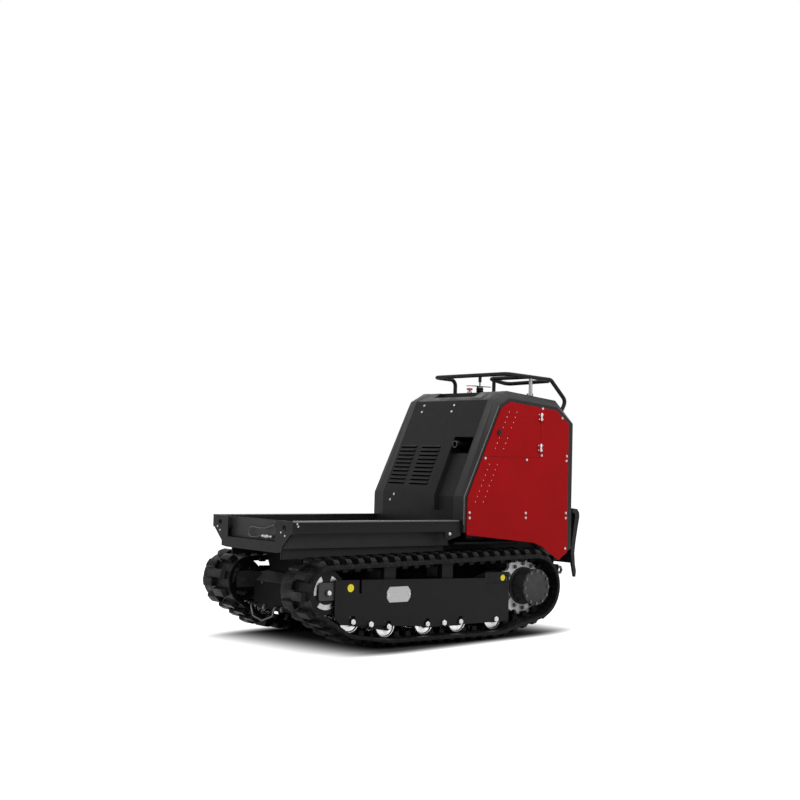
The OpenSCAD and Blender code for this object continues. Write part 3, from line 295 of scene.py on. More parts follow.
def plated(name, base, rough, spangle):
    """Plated steel with a fine spangle and rubbed spots."""
    made = Finish(name, metallic=1.0)
    made.mottle(base, 0.86, 1.08, made.cells(spangle), 0, 0.8)
    made.rough(made.noise(160, 4), rough - 0.06, rough + 0.1)
    made.bump(made.noise(700, 2), 0.00008)
    return made.material


def turned_steel(name, base, rough):
    """Steel off the lathe: fine rings about the piece's own axis."""
    made = Finish(name, metallic=1.0)
    radius = made.node("ShaderNodeAttribute", attribute_name="turn_radius").outputs["Fac"]
    rings = made.node("ShaderNodeMath", ((0, radius), (1, 4200.0)), operation="MULTIPLY").outputs[0]
    rings = made.node("ShaderNodeMath", ((0, rings),), operation="SINE").outputs[0]
    made.mottle(base, 0.8, 1.15, made.noise(30, 4))
    made.rough(made.noise(55, 4), rough - 0.07, rough + 0.12)
    made.bump(rings, 0.00002)
    return made.material


def milled_steel(name, base, rough, centre):
    """Steel plate faced on a lathe about one axis across the object."""
    made = Finish(name, metallic=0.25, specular=0.4)
    place = made.stretched((1, 0, 1), (-centre.x, 0, -centre.z))
    links = (("Vector", place), ("Scale", 210.0), ("Distortion", 0.6), ("Detail", 2.0))
    rings = made.node("ShaderNodeTexWave", links, wave_type="RINGS", rings_direction="SPHERICAL")
    made.mottle(base, 0.78, 1.18, made.noise(26, 4))
    made.rough(made.noise(60, 4), rough - 0.06, rough + 0.12)
    made.bump(rings.outputs["Fac"], 0.00006)
    return made.material


def brushed(name, base, rough, across):
    """Sheet metal brushed along one axis."""
    made = Finish(name, metallic=1.0)
    grain = made.noise(1.0, 4, made.stretched(across))
    made.mottle(base, 0.84, 1.1, grain)
    made.rough(grain, rough - 0.06, rough + 0.1)
    made.bump(grain, 0.00006)
    return made.material


def moulded_plastic(name, base, rough, grain, coat=0.0):
    """Moulded plastic with a leathery grain."""
    made = Finish(name, specular=0.2, coat=coat)
    made.mottle(base, 0.85, 1.18, made.noise(18, 4))
    made.rough(made.noise(45, 3), rough - 0.05, rough + 0.08)
    made.bump(made.cells(grain), 0.00016)
    return made.material


def rough_casting(name, base):
    """Sand casting with a grainy skin and oily patches."""
    made = Finish(name, metallic=0.35, specular=0.4)
    made.mottle(base, 0.55, 1.25, made.noise(16, 6))
    made.rough(made.noise(12, 4), 0.42, 0.68)
    made.bump(made.noise(420, 4), 0.0005)
    return made.material


FINISHES = {}
BELT_SCUFF, HOSE_SCUFF = (0.026, 0.026, 0.027), (0.05, 0.05, 0.051)
BROW_GREY = (0.06, 0.06, 0.062)


def mix_finishes(colours):
    """Every finish of the carrier, from the panel's colours."""
    axis = at(SPROCKET[0], 0, SPROCKET[1])
    coat, black, track = powder_coat, colours.black_paint, colours.frame_paint
    FINISHES.update(
        black_paint=coat("black_powder_coat", black, 0.42, 0.13),
        # A lighter copy of the black paint for the side frames: painted light on their lit shoulders and edges
        edge_paint=coat("edge_powder_coat", shade(black, 1.7), 0.36, 0.2),
        # A lighter copy of the black paint: painted light on sheets over shaded walls
        skin_paint=coat("skin_powder_coat", shade(black, 4.5), 0.42, 0.15),
        frame_paint=coat("frame_paint", track, 0.5, 0.12),
        # A darker, duller copy of the black paint: painted shade on the chassis under the deck
        chassis_paint=coat("chassis_paint", colours.chassis_paint, 0.6, 0.05),
        # A lighter copy of the frame paint: painted light on the idler yokes' blocks
        block_paint=coat("block_paint", shade(track, 7.5), 0.42, 0.2),
        # A lighter, glossier copy of the black paint for the beads: the gloss is real, the lighter colour is
        # painted light
        rim_paint=coat("rim_paint", shade(black, 1.4), 0.2, 1.0),
        # A lighter copy of the black paint: painted light inside the exhaust channel
        channel_paint=coat("channel_paint", shade(black, 2.4), 0.5, 0.1),
        red_paint=coat("red_powder_coat", colours.red_paint, 0.46, 0.08),
        rubber=moulded_rubber("belt_rubber", colours.rubber, BELT_SCUFF, 0.10, 0.34),
        # A grey copy of black rubber for the hose: painted sheen
        hose=moulded_rubber("hose_cover", colours.hose, HOSE_SCUFF, 0.3, 0.5),
        plastic=moulded_plastic("black_plastic", colours.plastic, 0.46, 900),
        button=moulded_plastic("button_plastic", colours.button, 0.26, 1500, 0.4),
        zinc=plated("zinc_plate", colours.zinc, 0.3, 420),
        chrome=plated("chrome_plate", colours.chrome, 0.12, 90),
        steel=turned_steel("turned_steel", colours.steel, 0.2),
        # A darker copy of the rollers' steel: painted shade for the idlers' darker reflections
        idler_steel=turned_steel("idler_steel", shade(colours.steel, 0.6), 0.3),
        dark_steel=plated("dark_steel", colours.dark_steel, 0.36, 300),
        sprocket=milled_steel("sprocket_steel", colours.plate_steel, 0.5, axis),
        casting=rough_casting("engine_casting", colours.casting),
        hub=rough_casting("hub_casting", shade(colours.casting, 0.2)),
        plate=brushed("bare_plate", colours.plate, 0.34, (30, 30, 2600)),
        brow_plate=coat("brow_plate", BROW_GREY, 0.4, 0.3),
        marker=coat("marker_disc", colours.marker, 0.4, 0.3),
    )


# Making pieces


def piece(name, bm, finish, body):
    """A finished mesh that rides on a body."""
    bmesh.ops.remove_doubles(bm, verts=bm.verts, dist=2e-6)
    bmesh.ops.recalc_face_normals(bm, faces=bm.faces)
    mesh = bpy.data.meshes.new(name)
    bm.to_mesh(mesh)
    bm.free()
    mesh.materials.append(FINISHES[finish])
    mesh.shade_smooth()
    mesh.set_sharp_from_angle(angle=math.radians(SHARP))
    made = bpy.data.objects.new(name, mesh)
    bpy.context.scene.collection.objects.link(made)
    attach(made, body)
    return made


def ease(made, width):
    """Rounds a piece's sharp edges, so that they catch the light."""
    rounding = made.modifiers.new("eased_edges", "BEVEL")
    rounding.width = width
    rounding.segments = 2
    rounding.limit_method = "ANGLE"
    rounding.angle_limit = math.radians(EASED)
    rounding.harden_normals = True
    return made


def dress(node, finish, slot, width, shape=None):
    """A copy of a node, shaped further and with its edges eased, which stands for it."""
    source = frame["nodes"][node]
    bm = bmesh.new()
    bm.from_mesh(source.data)
    bmesh.ops.remove_doubles(bm, verts=bm.verts, dist=2e-5)
    bmesh.ops.dissolve_limit(bm, angle_limit=math.radians(0.4), verts=bm.verts, edges=bm.edges,
                             use_dissolve_boundaries=False, delimit={"NORMAL"})
    if shape:
        shape(bm)
    made = piece(node + "_dressed", bm, finish, source["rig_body"])
    if width:
        ease(made, width)
    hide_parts(node)
    return made


def body_of(node):
    """The body that a node rides on."""
    return frame["nodes"][node]["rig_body"]


def middle(node):
    """The middle of a node's box."""
    low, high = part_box(node)
    return (Vector(low) + Vector(high)) / 2


def plate(bm, outline, move):
    """A flat plate, pulled from the outline of one of its faces."""
    face = bm.faces.new([bm.verts.new(point) for point in outline])
    made = bmesh.ops.extrude_face_region(bm, geom=[face])["geom"]
    bmesh.ops.translate(bm, verts=[part for part in made if isinstance(part, bmesh.types.BMVert)], vec=move)


def disc(bm, point, normal, radius, height, segments=24, top=1.0):
    """A round or many-sided head that stands on a face; returns its outer face."""
    matrix = seat(point, normal) @ Matrix.Translation((0, 0, height / 2))
    made = bmesh.ops.create_cone(bm, cap_ends=True, segments=segments, radius1=radius,
                                 radius2=radius * top, depth=height, matrix=matrix)
    faces = {face for vert in made["verts"] for face in vert.link_faces}
    return max(faces, key=lambda face: face.calc_center_median().dot(normal))


def panel_screw(bm, point, normal, radius):
    """A pan head with a drive recess on a thin washer."""
    disc(bm, point, normal, radius * 1.25, radius * 0.16, 16)
    outer = disc(bm, point, normal, radius, radius * 0.62, 16, 0.78)
    bmesh.ops.inset_region(bm, faces=[outer], thickness=radius * 0.36)
    bmesh.ops.translate(bm, verts=outer.verts, vec=normal * radius * -0.3)


def hex_bolt(bm, point, normal, radius):
    """A hexagon head on a washer."""
    disc(bm, point, normal, radius * 1.35, radius * 0.2, 20)
    outer = disc(bm, point, normal, radius, radius * 0.78, 6, 0.94)
    bmesh.ops.inset_region(bm, faces=[outer], thickness=radius * 0.16)
    bmesh.ops.translate(bm, verts=outer.verts, vec=normal * radius * 0.08)


def rivet(bm, point, normal, radius):
    """A low domed rivet head."""
    matrix = seat(point, normal) @ Matrix.Diagonal((1, 1, 0.45, 1))
    bmesh.ops.create_uvsphere(bm, u_segments=10, v_segments=6, radius=radius, matrix=matrix)


def studded(name, head, places, finish="zinc", body="carrier"):
    """A piece made of heads of one kind, each with its place, direction and size."""
    bm = bmesh.new()
    for place in places:
        head(bm, *place)
    piece(name, bm, finish, body)


def block(bm, low, high, rounding):
    """A box between two corners, with its edges rounded."""
    size = high - low
    matrix = Matrix.Translation((low + high) / 2) @ Matrix.Diagonal((*size, 1))
    made = bmesh.ops.create_cube(bm, size=1.0, matrix=matrix)
    edges = list({edge for vert in made["verts"] for edge in vert.link_edges})
    bmesh.ops.bevel(bm, geom=edges, offset=rounding, affect="EDGES", segments=2, profile=0.5, material=-1)


def turned(bm, centre, axis, profile, steps=48):
    """Spins a profile of radius and height about an axis through a centre."""
    frame_at = seat(centre, axis)
    verts = [bm.verts.new(frame_at @ Vector((radius, 0, height))) for radius, height in profile]
    edges = [bm.edges.new(pair) for pair in zip(verts, verts[1:])]
    bmesh.ops.spin(bm, geom=verts + edges, cent=centre, axis=axis, dvec=(0, 0, 0),
                   angle=math.tau, steps=steps, use_merge=True, use_duplicate=False)


def ring_of(bm, matrix, radius, sides):
    """The edges of a new circle."""
    made = bmesh.ops.create_circle(bm, cap_ends=False, segments=sides, radius=radius, matrix=matrix)
    return list({edge for vert in made["verts"] for edge in vert.link_edges})


def pulled(bm, edges, move):
    """Extrudes a ring of edges and returns the new ring."""
    made = bmesh.ops.extrude_edge_only(bm, edges=edges)["geom"]
    bmesh.ops.translate(bm, verts=[part for part in made if isinstance(part, bmesh.types.BMVert)], vec=move)
    return [part for part in made if isinstance(part, bmesh.types.BMEdge)
            and all(vert in made for vert in part.verts)]


def tube(bm, route, radius, bend, sides=20):
    """A bent tube: pulled along each leg of a route and spun round each corner."""
    edges = ring_of(bm, seat(route[0], (route[1] - route[0]).normalized()), radius, sides)
    bmesh.ops.holes_fill(bm, edges=edges, sides=sides)
    here = route[0]
    for before, corner, after in zip(route, route[1:], route[2:]):
        into = (corner - before).normalized()
        out = (after - corner).normalized()
        turn = into.angle(out)
        stop = corner - into * bend * math.tan(turn / 2)
        edges = pulled(bm, edges, stop - here)
        centre = stop + (out - into * into.dot(out)).normalized() * bend
        made = bmesh.ops.spin(bm, geom=edges, cent=centre, axis=into.cross(out).normalized(), dvec=(0, 0, 0),
                              angle=turn, steps=8, use_merge=False, use_duplicate=False)
        edges = [part for part in made["geom_last"] if isinstance(part, bmesh.types.BMEdge)]
        here = corner + out * bend * math.tan(turn / 2)
    edges = pulled(bm, edges, route[-1] - here)
    bmesh.ops.holes_fill(bm, edges=edges, sides=sides)


def mark_radius(made, centre, axis):
    """Keeps each point's distance from a turned piece's axis, which its finish reads."""
    arms = [vert.co - centre for vert in made.data.vertices]
    values = [(arm - axis * arm.dot(axis)).length for arm in arms]
    made.data.attributes.new("turn_radius", "FLOAT", "POINT").data.foreach_set("value", values)


# Operators


class CARRIER_OT_stage(bpy.types.Operator):
    """Sets the camera, the pale floor and the soft lights"""

    bl_idname = "carrier.stage"
    bl_label = "Studio stage"

    # Box of the shadow painted on the floor under the tracks: its place and turn, half sizes, and how fast each
    # side fades
    SHIFT, TURN = (-0.04, 0, 0), (0, 0, math.radians(-9))
    STAND, FADES = (0.46, 0.42, 0), (1.7, 5.6, 0)
    # Size of the floor, and its colour at the tracks and far out, which paints the shadow
    FLOOR_SIZE, FLOOR_TINTS = 60, (0.05, 0.4)
    # Name, place, target, width, height and power of each lamp
    LAMPS = (("overhead_softbox", (-0.4, 0.6, 4.6), (-0.1, 0.1, 0.4), 5.0, 4.0, 150),
             ("front_softbox", (5.5, 0.6, 2.6), (0.3, 0.0, 0.6), 3.0, 2.2, 46),
             ("side_softbox", (-1.2, 5.8, 2.6), (-0.3, 0.2, 0.6), 4.0, 2.6, 92),
             ("back_strip", (-3.4, -3.2, 3.0), (0.0, 0.0, 0.7), 6.0, 0.6, 11),
             ("edge_strip", (5.0, 3.0, 1.2), (0.0, 0.2, 0.8), 0.25, 2.4, 22),
             ("shoulder_strip", (2.8, 3.4, 3.7), (-0.1, 0.3, 0.9), 0.5, 1.6, 16),
             ("rim_strip", (-3.5, 3.4, 4.2), (0.3, 0.35, 0.6), 3.5, 0.4, 18))

    def execute(self, context):
        stage = context.scene.carrier_stage
        scene = context.scene
        lens = bpy.data.cameras.new("camera")
        lens.sensor_width = 36
        lens.lens = stage.lens
        lens.clip_end = 200
        camera = bpy.data.objects.new("camera", lens)
        scene.collection.objects.link(camera)
        camera.matrix_world = (Matrix.Translation(stage.camera_at)
                               @ Matrix.Rotation(stage.azimuth, 4, "Z")
                               @ Matrix.Rotation(math.pi / 2 - stage.elevation, 4, "X")
                               @ Matrix.Rotation(stage.roll, 4, "Z"))
        scene.camera = camera
        scene.view_settings.view_transform = "Standard"
        self.surroundings(scene, stage.ambient)
        self.floor(scene)
        for lamp in self.LAMPS:
            self.lamp(scene, *lamp)
        return {"FINISHED"}

    def surroundings(self, scene, ambient):
        """White to the camera and in reflections, a plain level of light on the object."""
        world = bpy.data.worlds.new("surroundings")
        world.use_nodes = True
        scene.world = world
        tree = world.node_tree
        back = tree.nodes["Background"]
        back.inputs["Color"].default_value = (1, 1, 1, 1)
        self.seen(tree, back.inputs["Strength"], 1.0, ambient)

    def seen(self, tree, socket, shown, otherwise):
        """One strength for camera, glossy and transmission rays, another for the rest."""
        path = added(tree, "ShaderNodeLightPath").outputs
        ray = path["Is Camera Ray"]
        for kind in ("Is Glossy Ray", "Is Transmission Ray"):
            ray = added(tree, "ShaderNodeMath", ((0, ray), (1, path[kind])), operation="MAXIMUM").outputs[0]
        level = added(tree, "ShaderNodeMapRange", (("Value", ray), ("To Min", otherwise), ("To Max", shown)))
        tree.links.new(level.outputs[0], socket)
        return level

    def floor(self, scene):
        """A pale floor with a shadow painted into its colour and its glow under the tracks, going white with
        the distance from the object.
        """
        bm = bmesh.new()
        bmesh.ops.create_grid(bm, x_segments=1, y_segments=1, size=self.FLOOR_SIZE)
        mesh = bpy.data.meshes.new("floor")
        bm.to_mesh(mesh)
        bm.free()
        floor = bpy.data.objects.new("floor", mesh)
        scene.collection.objects.link(floor)
        pale = bpy.data.materials.new("pale_floor")
        pale.use_nodes = True
        tree = pale.node_tree
        shader = tree.nodes["Principled BSDF"]
        shader.inputs["Roughness"].default_value = 0.9
        shader.inputs["Specular IOR Level"].default_value = 0.0
        shader.inputs["Emission Color"].default_value = (1, 1, 1, 1)
        # Painted shadow: the floor's glow to the camera and in reflections rises from none at the tracks to
        # white far out, and its colour darkens towards the tracks
        level = self.seen(tree, shader.inputs["Emission Strength"], 0.0, 0.0)
        away = self.away(tree)
        self.faded(tree, away, 0.0, 1.0, level.inputs["To Max"])
        self.faded(tree, away, *self.FLOOR_TINTS, shader.inputs["Base Color"])
        mesh.materials.append(pale)

    def faded(self, tree, away, near, far, socket):
        """A value that goes smoothly from one at the tracks to another out on the floor."""
        rise = added(tree, "ShaderNodeMapRange", (("Value", away),), interpolation_type="SMOOTHSTEP").outputs[0]
        slow = added(tree, "ShaderNodeMath", ((0, rise), (1, rise)), operation="MULTIPLY").outputs[0]
        level = added(tree, "ShaderNodeMapRange", (("Value", slow), ("To Min", near), ("To Max", far)))
        tree.links.new(level.outputs[0], socket)

    def away(self, tree):
        """Distance of a floor point from the box of the painted shadow, in widths of its soft edge."""
        place = added(tree, "ShaderNodeTexCoord").outputs["Object"]
        links = (("Vector", place), ("Location", self.SHIFT), ("Rotation", self.TURN))
        place = added(tree, "ShaderNodeMapping", links).outputs[0]
        for operation, value in (("ABSOLUTE", None), ("SUBTRACT", self.STAND), ("MAXIMUM", (0, 0, 0)),
                                 ("MULTIPLY", self.FADES), ("LENGTH", None)):
            links = ((0, place), (1, value)) if value else ((0, place),)
            step = added(tree, "ShaderNodeVectorMath", links, operation=operation)
            place = step.outputs["Value" if operation == "LENGTH" else "Vector"]
        return place

    def lamp(self, scene, name, place, target, width, height, power):
        """A soft rectangle of light, turned to its target."""
        light = bpy.data.lights.new(name, "AREA")
        light.shape = "RECTANGLE"
        light.size = width
        light.size_y = height
        light.energy = power
        lamp = bpy.data.objects.new(name, light)
        scene.collection.objects.link(lamp)
        aim = Vector(target) - Vector(place)
        lamp.matrix_world = Matrix.Translation(place) @ aim.to_track_quat("-Z", "Y").to_matrix().to_4x4()


class CARRIER_OT_sheet_metal(bpy.types.Operator):
    """Dresses the painted sheet metal of the deck and the house"""

    bl_idname = "carrier.sheet_metal"
    bl_label = "Deck and house panels"

    # Place and radius of the beads on the rims and on the house's front edges
    RIM_X, RIM_Y, RIM_Z, RIM_R = (0.6, 1023.4), 352, 594.5, 0.0057
    EDGE, EDGE_Y, EDGE_R = ((-2.2, 575), (-2.2, 716), (-226, 1190)), 371.8, 0.0028

    def execute(self, context):
        width = context.scene.carrier_sizes.sheet_ease
        for node in ("deck_pan", "house_base", "left_side_frame", "right_side_frame",
                     "front_panel", "top_panel", "rear_panel"):
            # The side frames take a lighter copy of the black paint: painted light on their shoulders and edges
            finish, share = ("edge_paint", 1.7) if "side" in node else ("black_paint", 1)
            dress(node, finish, "black_paint", width * share)
        for node in ("left_lower_panel", "right_lower_panel", "left_door", "right_door"):
            dress(node, "red_paint", "red_paint", width * 0.6)
        self.skins()
        self.channel()
        self.beads()
        return {"FINISHED"}

    def skins(self):
        """Thin sheets in a lighter copy of the black paint on the deck's front wall, its sides and the chassis
        nose: painted light on these shaded faces.
        """
        bm = bmesh.new()
        wall = ((-256, 498), (256, 498), (256, 592), (-256, 592))
        plate(bm, [at(993.9, y, z) for y, z in wall], FORWARD * SHEET)
        nose = ((898.8, -146, 284), (841.2, -146, 330), (841.2, 146, 330), (898.8, 146, 284))
        plate(bm, [at(*corner) for corner in nose], NOSE_UP * SHEET)
        for _, sign in SIDES:
            for y, front, low, high in ((261.9, 1010, 465, 540), (221.9, 990, 413, 463)):
                side = ((6, low), (front, low), (front, high), (6, high))
                plate(bm, [at(x, sign * y, z) for x, z in side], Vector((0, sign * SHEET, 0)))
        piece("deck_skins", bm, "skin_paint", "carrier")

    def channel(self):
        """Thin sheets on the floor and the inner wall of the exhaust channel, in a lighter copy of the black
        paint: painted light in the channel's shade.
        """
        foot, bend, head = (-34.1, 641), (-34.1, 712.9), (-131.0, 936)
        near, far, wall_y = 136, 285, 134.9
        bm = bmesh.new()
        for (low, high), out in (((foot, bend), FORWARD), ((bend, head), LEAN_OUT)):
            outline = ((low, near), (low, far), (high, far), (high, near))
            plate(bm, [at(x, y, z) for (x, z), y in outline], out * SHEET)
        wall = (foot, bend, head, (-95.2, 936), (-1.4, 720), (-1.4, 641))
        plate(bm, [at(x, wall_y, z) for x, z in wall], Vector((0, SHEET, 0)))
        piece("channel_skins", bm, "channel_paint", "carrier")

    def beads(self):
        """Rounded beads on the deck's rims and the house's front edges, in a lighter, glossier copy of the
        black paint: its gloss catches the lamps, its lighter colour is painted light.
        """
        bm = bmesh.new()
        for _, sign in SIDES:
            tube(bm, [at(x, sign * self.RIM_Y, self.RIM_Z) for x in self.RIM_X], self.RIM_R, 0.02)
            tube(bm, [at(x, sign * self.EDGE_Y, z) for x, z in self.EDGE], self.EDGE_R, 0.03)
        piece("edge_beads", bm, "rim_paint", "carrier")


class CARRIER_OT_running_gear(bpy.types.Operator):
    """Dresses the chassis, the track frames and what they carry"""

    bl_idname = "carrier.running_gear"
    bl_label = "Chassis and track frames"

    def execute(self, context):
        width = context.scene.carrier_sizes.frame_ease
        for node in ("chassis_frame", "cross_beams"):
            dress(node, "chassis_paint", "black_paint", width * 1.6)
        for side, _ in SIDES:
            for node in ("left_track_frame", "left_track_cover", "left_front_bogie", "left_rear_bogie"):
                dress(hand(node, side), "frame_paint", "black_paint", width)
            # The yoke's block takes a lighter copy of the frame paint: painted light
            dress(hand("left_idler_yoke", side), "block_paint", "black_paint", width * 2)
        dress("drive_motors", "casting", "cast_grey", width)
        return {"FINISHED"}


class CARRIER_OT_belts(bpy.types.Operator):
    """Moulds the rubber belts with rounded tread blocks and horns"""

    bl_idname = "carrier.belts"
    bl_label = "Rubber belts"

    # Middle of a belt, half a tread block's width and how near to its end a point lies
    MIDDLE, LUG, NEAR = 0.355, 0.099, 0.0002

    def execute(self, context):
        sizes = context.scene.carrier_sizes
        for side, _ in SIDES:
            dress(hand("left_track_belt", side), "rubber", "belt_rubber", sizes.tread_ease,
                  lambda bm: self.slope_ends(bm, sizes.lug_slope))
        return {"FINISHED"}

    def slope_ends(self, bm, reach):
        """Slopes the outer ends of the tread blocks."""
        bm.normal_update()
        ends = [edge for edge in bm.edges if len(edge.link_faces) == 2
                and any(abs(face.normal.y) > 0.9 for face in edge.link_faces)
                and all(abs(abs(abs(vert.co.y) - self.MIDDLE) - self.LUG) < self.NEAR for vert in edge.verts)]
        feet = {vert for edge in ends if not edge.is_convex for vert in edge.verts}
        tips = [edge for edge in ends if edge.is_convex and not feet.intersection(edge.verts)]
        bmesh.ops.bevel(bm, geom=tips, offset=reach, affect="EDGES", segments=1, profile=0.5, material=-1)


class CARRIER_OT_wheels(bpy.types.Operator):
    """Turns the rollers and idlers, and finishes the sprockets and hubs"""

    bl_idname = "carrier.wheels"
    bl_label = "Wheels and sprockets"

    RIM_IN, RIM_OUT, RIM_EDGE = 0.046, 0.072, 0.0035
    # Radii of the rim, the barrel, the bore and the dish, and the finish
    ROLLER = 0.0572, 0.028, 0.0101, 0.0218, "steel"
    # The idler's steel is a darker copy of the rollers' steel: painted shade for its darker reflections
    IDLER = 0.1052, 0.076, 0.0151, 0.080, "idler_steel"
    # Bolt circle, its face and the head's radius, on the toothed plate and on the hub's cap
    BOLTS, CIRCLES = 12, ((115.1, 371.0, 0.0082), (83.0, 474.5, 0.0062))
    # Dark rings of the idler's web, and its pockets between them in degrees, drawn as flat dark plates on the
    # bright ring: painted shade
    WEBS, WEB_FOOT, WEB_FACE = ((0.0165, 0.0570), (0.0840, 0.1030)), 0.0650, 0.0724
    POCKETS, POCKET, POCKET_RADII = (-52, 68, 188), 42, (0.0555, 0.0855)
    POCKET_FOOT, POCKET_THICK = 0.0655, 0.0072

    def execute(self, context):
        for side, sign in SIDES:
            axis = Vector((0, sign, 0))
            for number in range(1, ROLLER_COUNT + 1):
                self.wheel(hand(f"left_roller_{number}", side), axis, *self.ROLLER)
            idler = hand("left_idler", side)
            self.wheel(idler, axis, *self.IDLER)
            bm = bmesh.new()
            for way in (axis, -axis):
                foot, face = self.WEB_FOOT, self.WEB_FACE
                for inner, outer in self.WEBS:
                    turned(bm, middle(idler), way, ((inner, foot), (inner, face), (outer - 0.001, face),
                                                    (outer, face - 0.0008), (outer, foot), (inner, foot)))
                # Flat dark plates over the bright ring, where it looks dark: painted shade
                for start in self.POCKETS:
                    self.pocket(bm, middle(idler) + way * self.POCKET_FOOT, way, start)
            piece(side + "_idler_webs", bm, "frame_paint", body_of(idler))
            dress(hand("left_sprocket", side), "sprocket", "polished_steel", 0.0016)
            dress(hand("left_drive_hub", side), "hub", "cast_grey", 0.0024)
            self.bolts(side + "_drive_bolts", hand("left_sprocket", side), sign)
        return {"FINISHED"}

    def pocket(self, bm, centre, way, start):
        """A flat dark plate on the idler's bright ring, on an arc that starts at an angle: painted shade for a
        pocket in its web.
        """
        turns = [math.radians(start + self.POCKET * step / 8) for step in range(9)]
        arc = [Vector((math.cos(turn), 0, math.sin(turn))) for turn in turns]
        near, far = self.POCKET_RADII
        outline = [centre + ray * near for ray in arc] + [centre + ray * far for ray in reversed(arc)]
        plate(bm, outline, way * self.POCKET_THICK)

    def bolts(self, name, node, sign):
        """Heads of the toothed plate's bolts, and of those in the hub's cap."""
        bm = bmesh.new()
        for ring, y, radius in self.CIRCLES:
            for number in range(self.BOLTS):
                turn = math.tau * number / self.BOLTS
                x, z = SPROCKET[0] + ring * math.cos(turn), SPROCKET[1] + ring * math.sin(turn)
                hex_bolt(bm, at(x, sign * y, z), Vector((0, sign, 0)), radius)
        piece(name, bm, "dark_steel", body_of(node))

    def wheel(self, node, axis, radius, barrel, bore, dish, finish):
        """Two crowned rims on a barrel, with dished faces round the bore."""
        centre = middle(node)
        inner, outer, edge = self.RIM_IN, self.RIM_OUT, self.RIM_EDGE
        half = [(bore, outer), (dish, outer), (dish + 0.004, outer - 0.006), (radius - 0.012, outer - 0.006),
                (radius - 0.008, outer), (radius - edge, outer), (radius - edge * 0.3, outer - edge * 0.4),
                (radius, outer - edge), (radius, inner + edge), (radius - edge * 0.3, inner + edge * 0.4),
                (radius - edge, inner), (barrel + 0.004, inner), (barrel, inner - 0.004)]
        profile = half + [(r, -h) for r, h in reversed(half)]
        bm = bmesh.new()
        turned(bm, centre, axis, profile + [half[0]])
        made = piece(node + "_turned", bm, finish, body_of(node))
        mark_radius(made, centre, axis)
        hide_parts(node)


class CARRIER_OT_guard(bpy.types.Operator):
    """Bends the guard rail's tubes and turns the chromed post"""

    bl_idname = "carrier.guard"
    bl_label = "Guard rail and post"

    HOOP = ((-471, -262, 1255.84), (-471, -262, 1356), (-317, -262, 1361.8), (-317, 330, 1361.8),
            (-640, 330, 1349.07), (-757, 330, 1240), (-722, 330, 1177.55))
    LOOP = ((-486, 330, 1356), (-486, 6, 1356), (-622, 6, 1335.07), (-622, 330, 1341.07))
    STUB = ((-486, 45, 1214.4), (-486, 45, 1356))
    FEET, FOOT_R, FOOT_HIGH = (((-471, -262, 1254.9), ROOF_UP), ((-486, 45, 1214.3), UP)), 0.02, 0.005

    def execute(self, context):
        sizes = context.scene.carrier_sizes
        bm = bmesh.new()
        for route in (self.HOOP, self.LOOP):
            tube(bm, [at(*point) for point in route], sizes.rail_r, sizes.rail_bend)
        tube(bm, [at(*point) for point in self.STUB], sizes.rail_r - 0.001, sizes.rail_bend)
        for place, up in self.FEET:
            disc(bm, at(*place), up, self.FOOT_R, self.FOOT_HIGH, 28)
        made = piece("guard_tubes", bm, "black_paint", "carrier")
        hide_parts("guard_rail")
        dress("guard_post", "chrome", "chrome_plate", 0.0012)
        return {"FINISHED"}


class CARRIER_OT_louvres(bpy.types.Operator):
    """Presses a hood over each louvre of the front panel"""

    bl_idname = "carrier.louvres"
    bl_label = "Front louvres"

    ROWS, PITCH, SLIT, FOOT = 10, 23.6, 7.0, 768.0
    COLUMNS = ((-280, -149), (-104, 49))

    def execute(self, context):
        hood = context.scene.carrier_sizes.hood
        along = Vector((-math.sin(LEAN), 0, math.cos(LEAN)))
        bm = bmesh.new()
        for low, high in self.COLUMNS:
            for row in range(self.ROWS):
                rise = (self.FOOT - BEND_Z) / math.cos(LEAN) + row * self.PITCH + self.SLIT
                foot = at(0, low + 2, BEND_Z) + along * rise / 1000 - LEAN_OUT * PANEL_STEP / 1000
                self.hood(bm, foot, along, (high - low - 4) / 1000, hood)
        piece("louvre_hoods", bm, "black_paint", "carrier")
        return {"FINISHED"}

    def hood(self, bm, foot, along, wide, out):
        """A quarter-round lip above one slit."""
        section = ((0.0, -0.002), (0.0, out), (0.0025, out), (0.0065, out * 0.6), (0.0095, -0.0002),
                   (0.0095, -0.002))
        plate(bm, [foot + LEAN_OUT * h + along * s for s, h in section], Vector((0, wide, 0)))


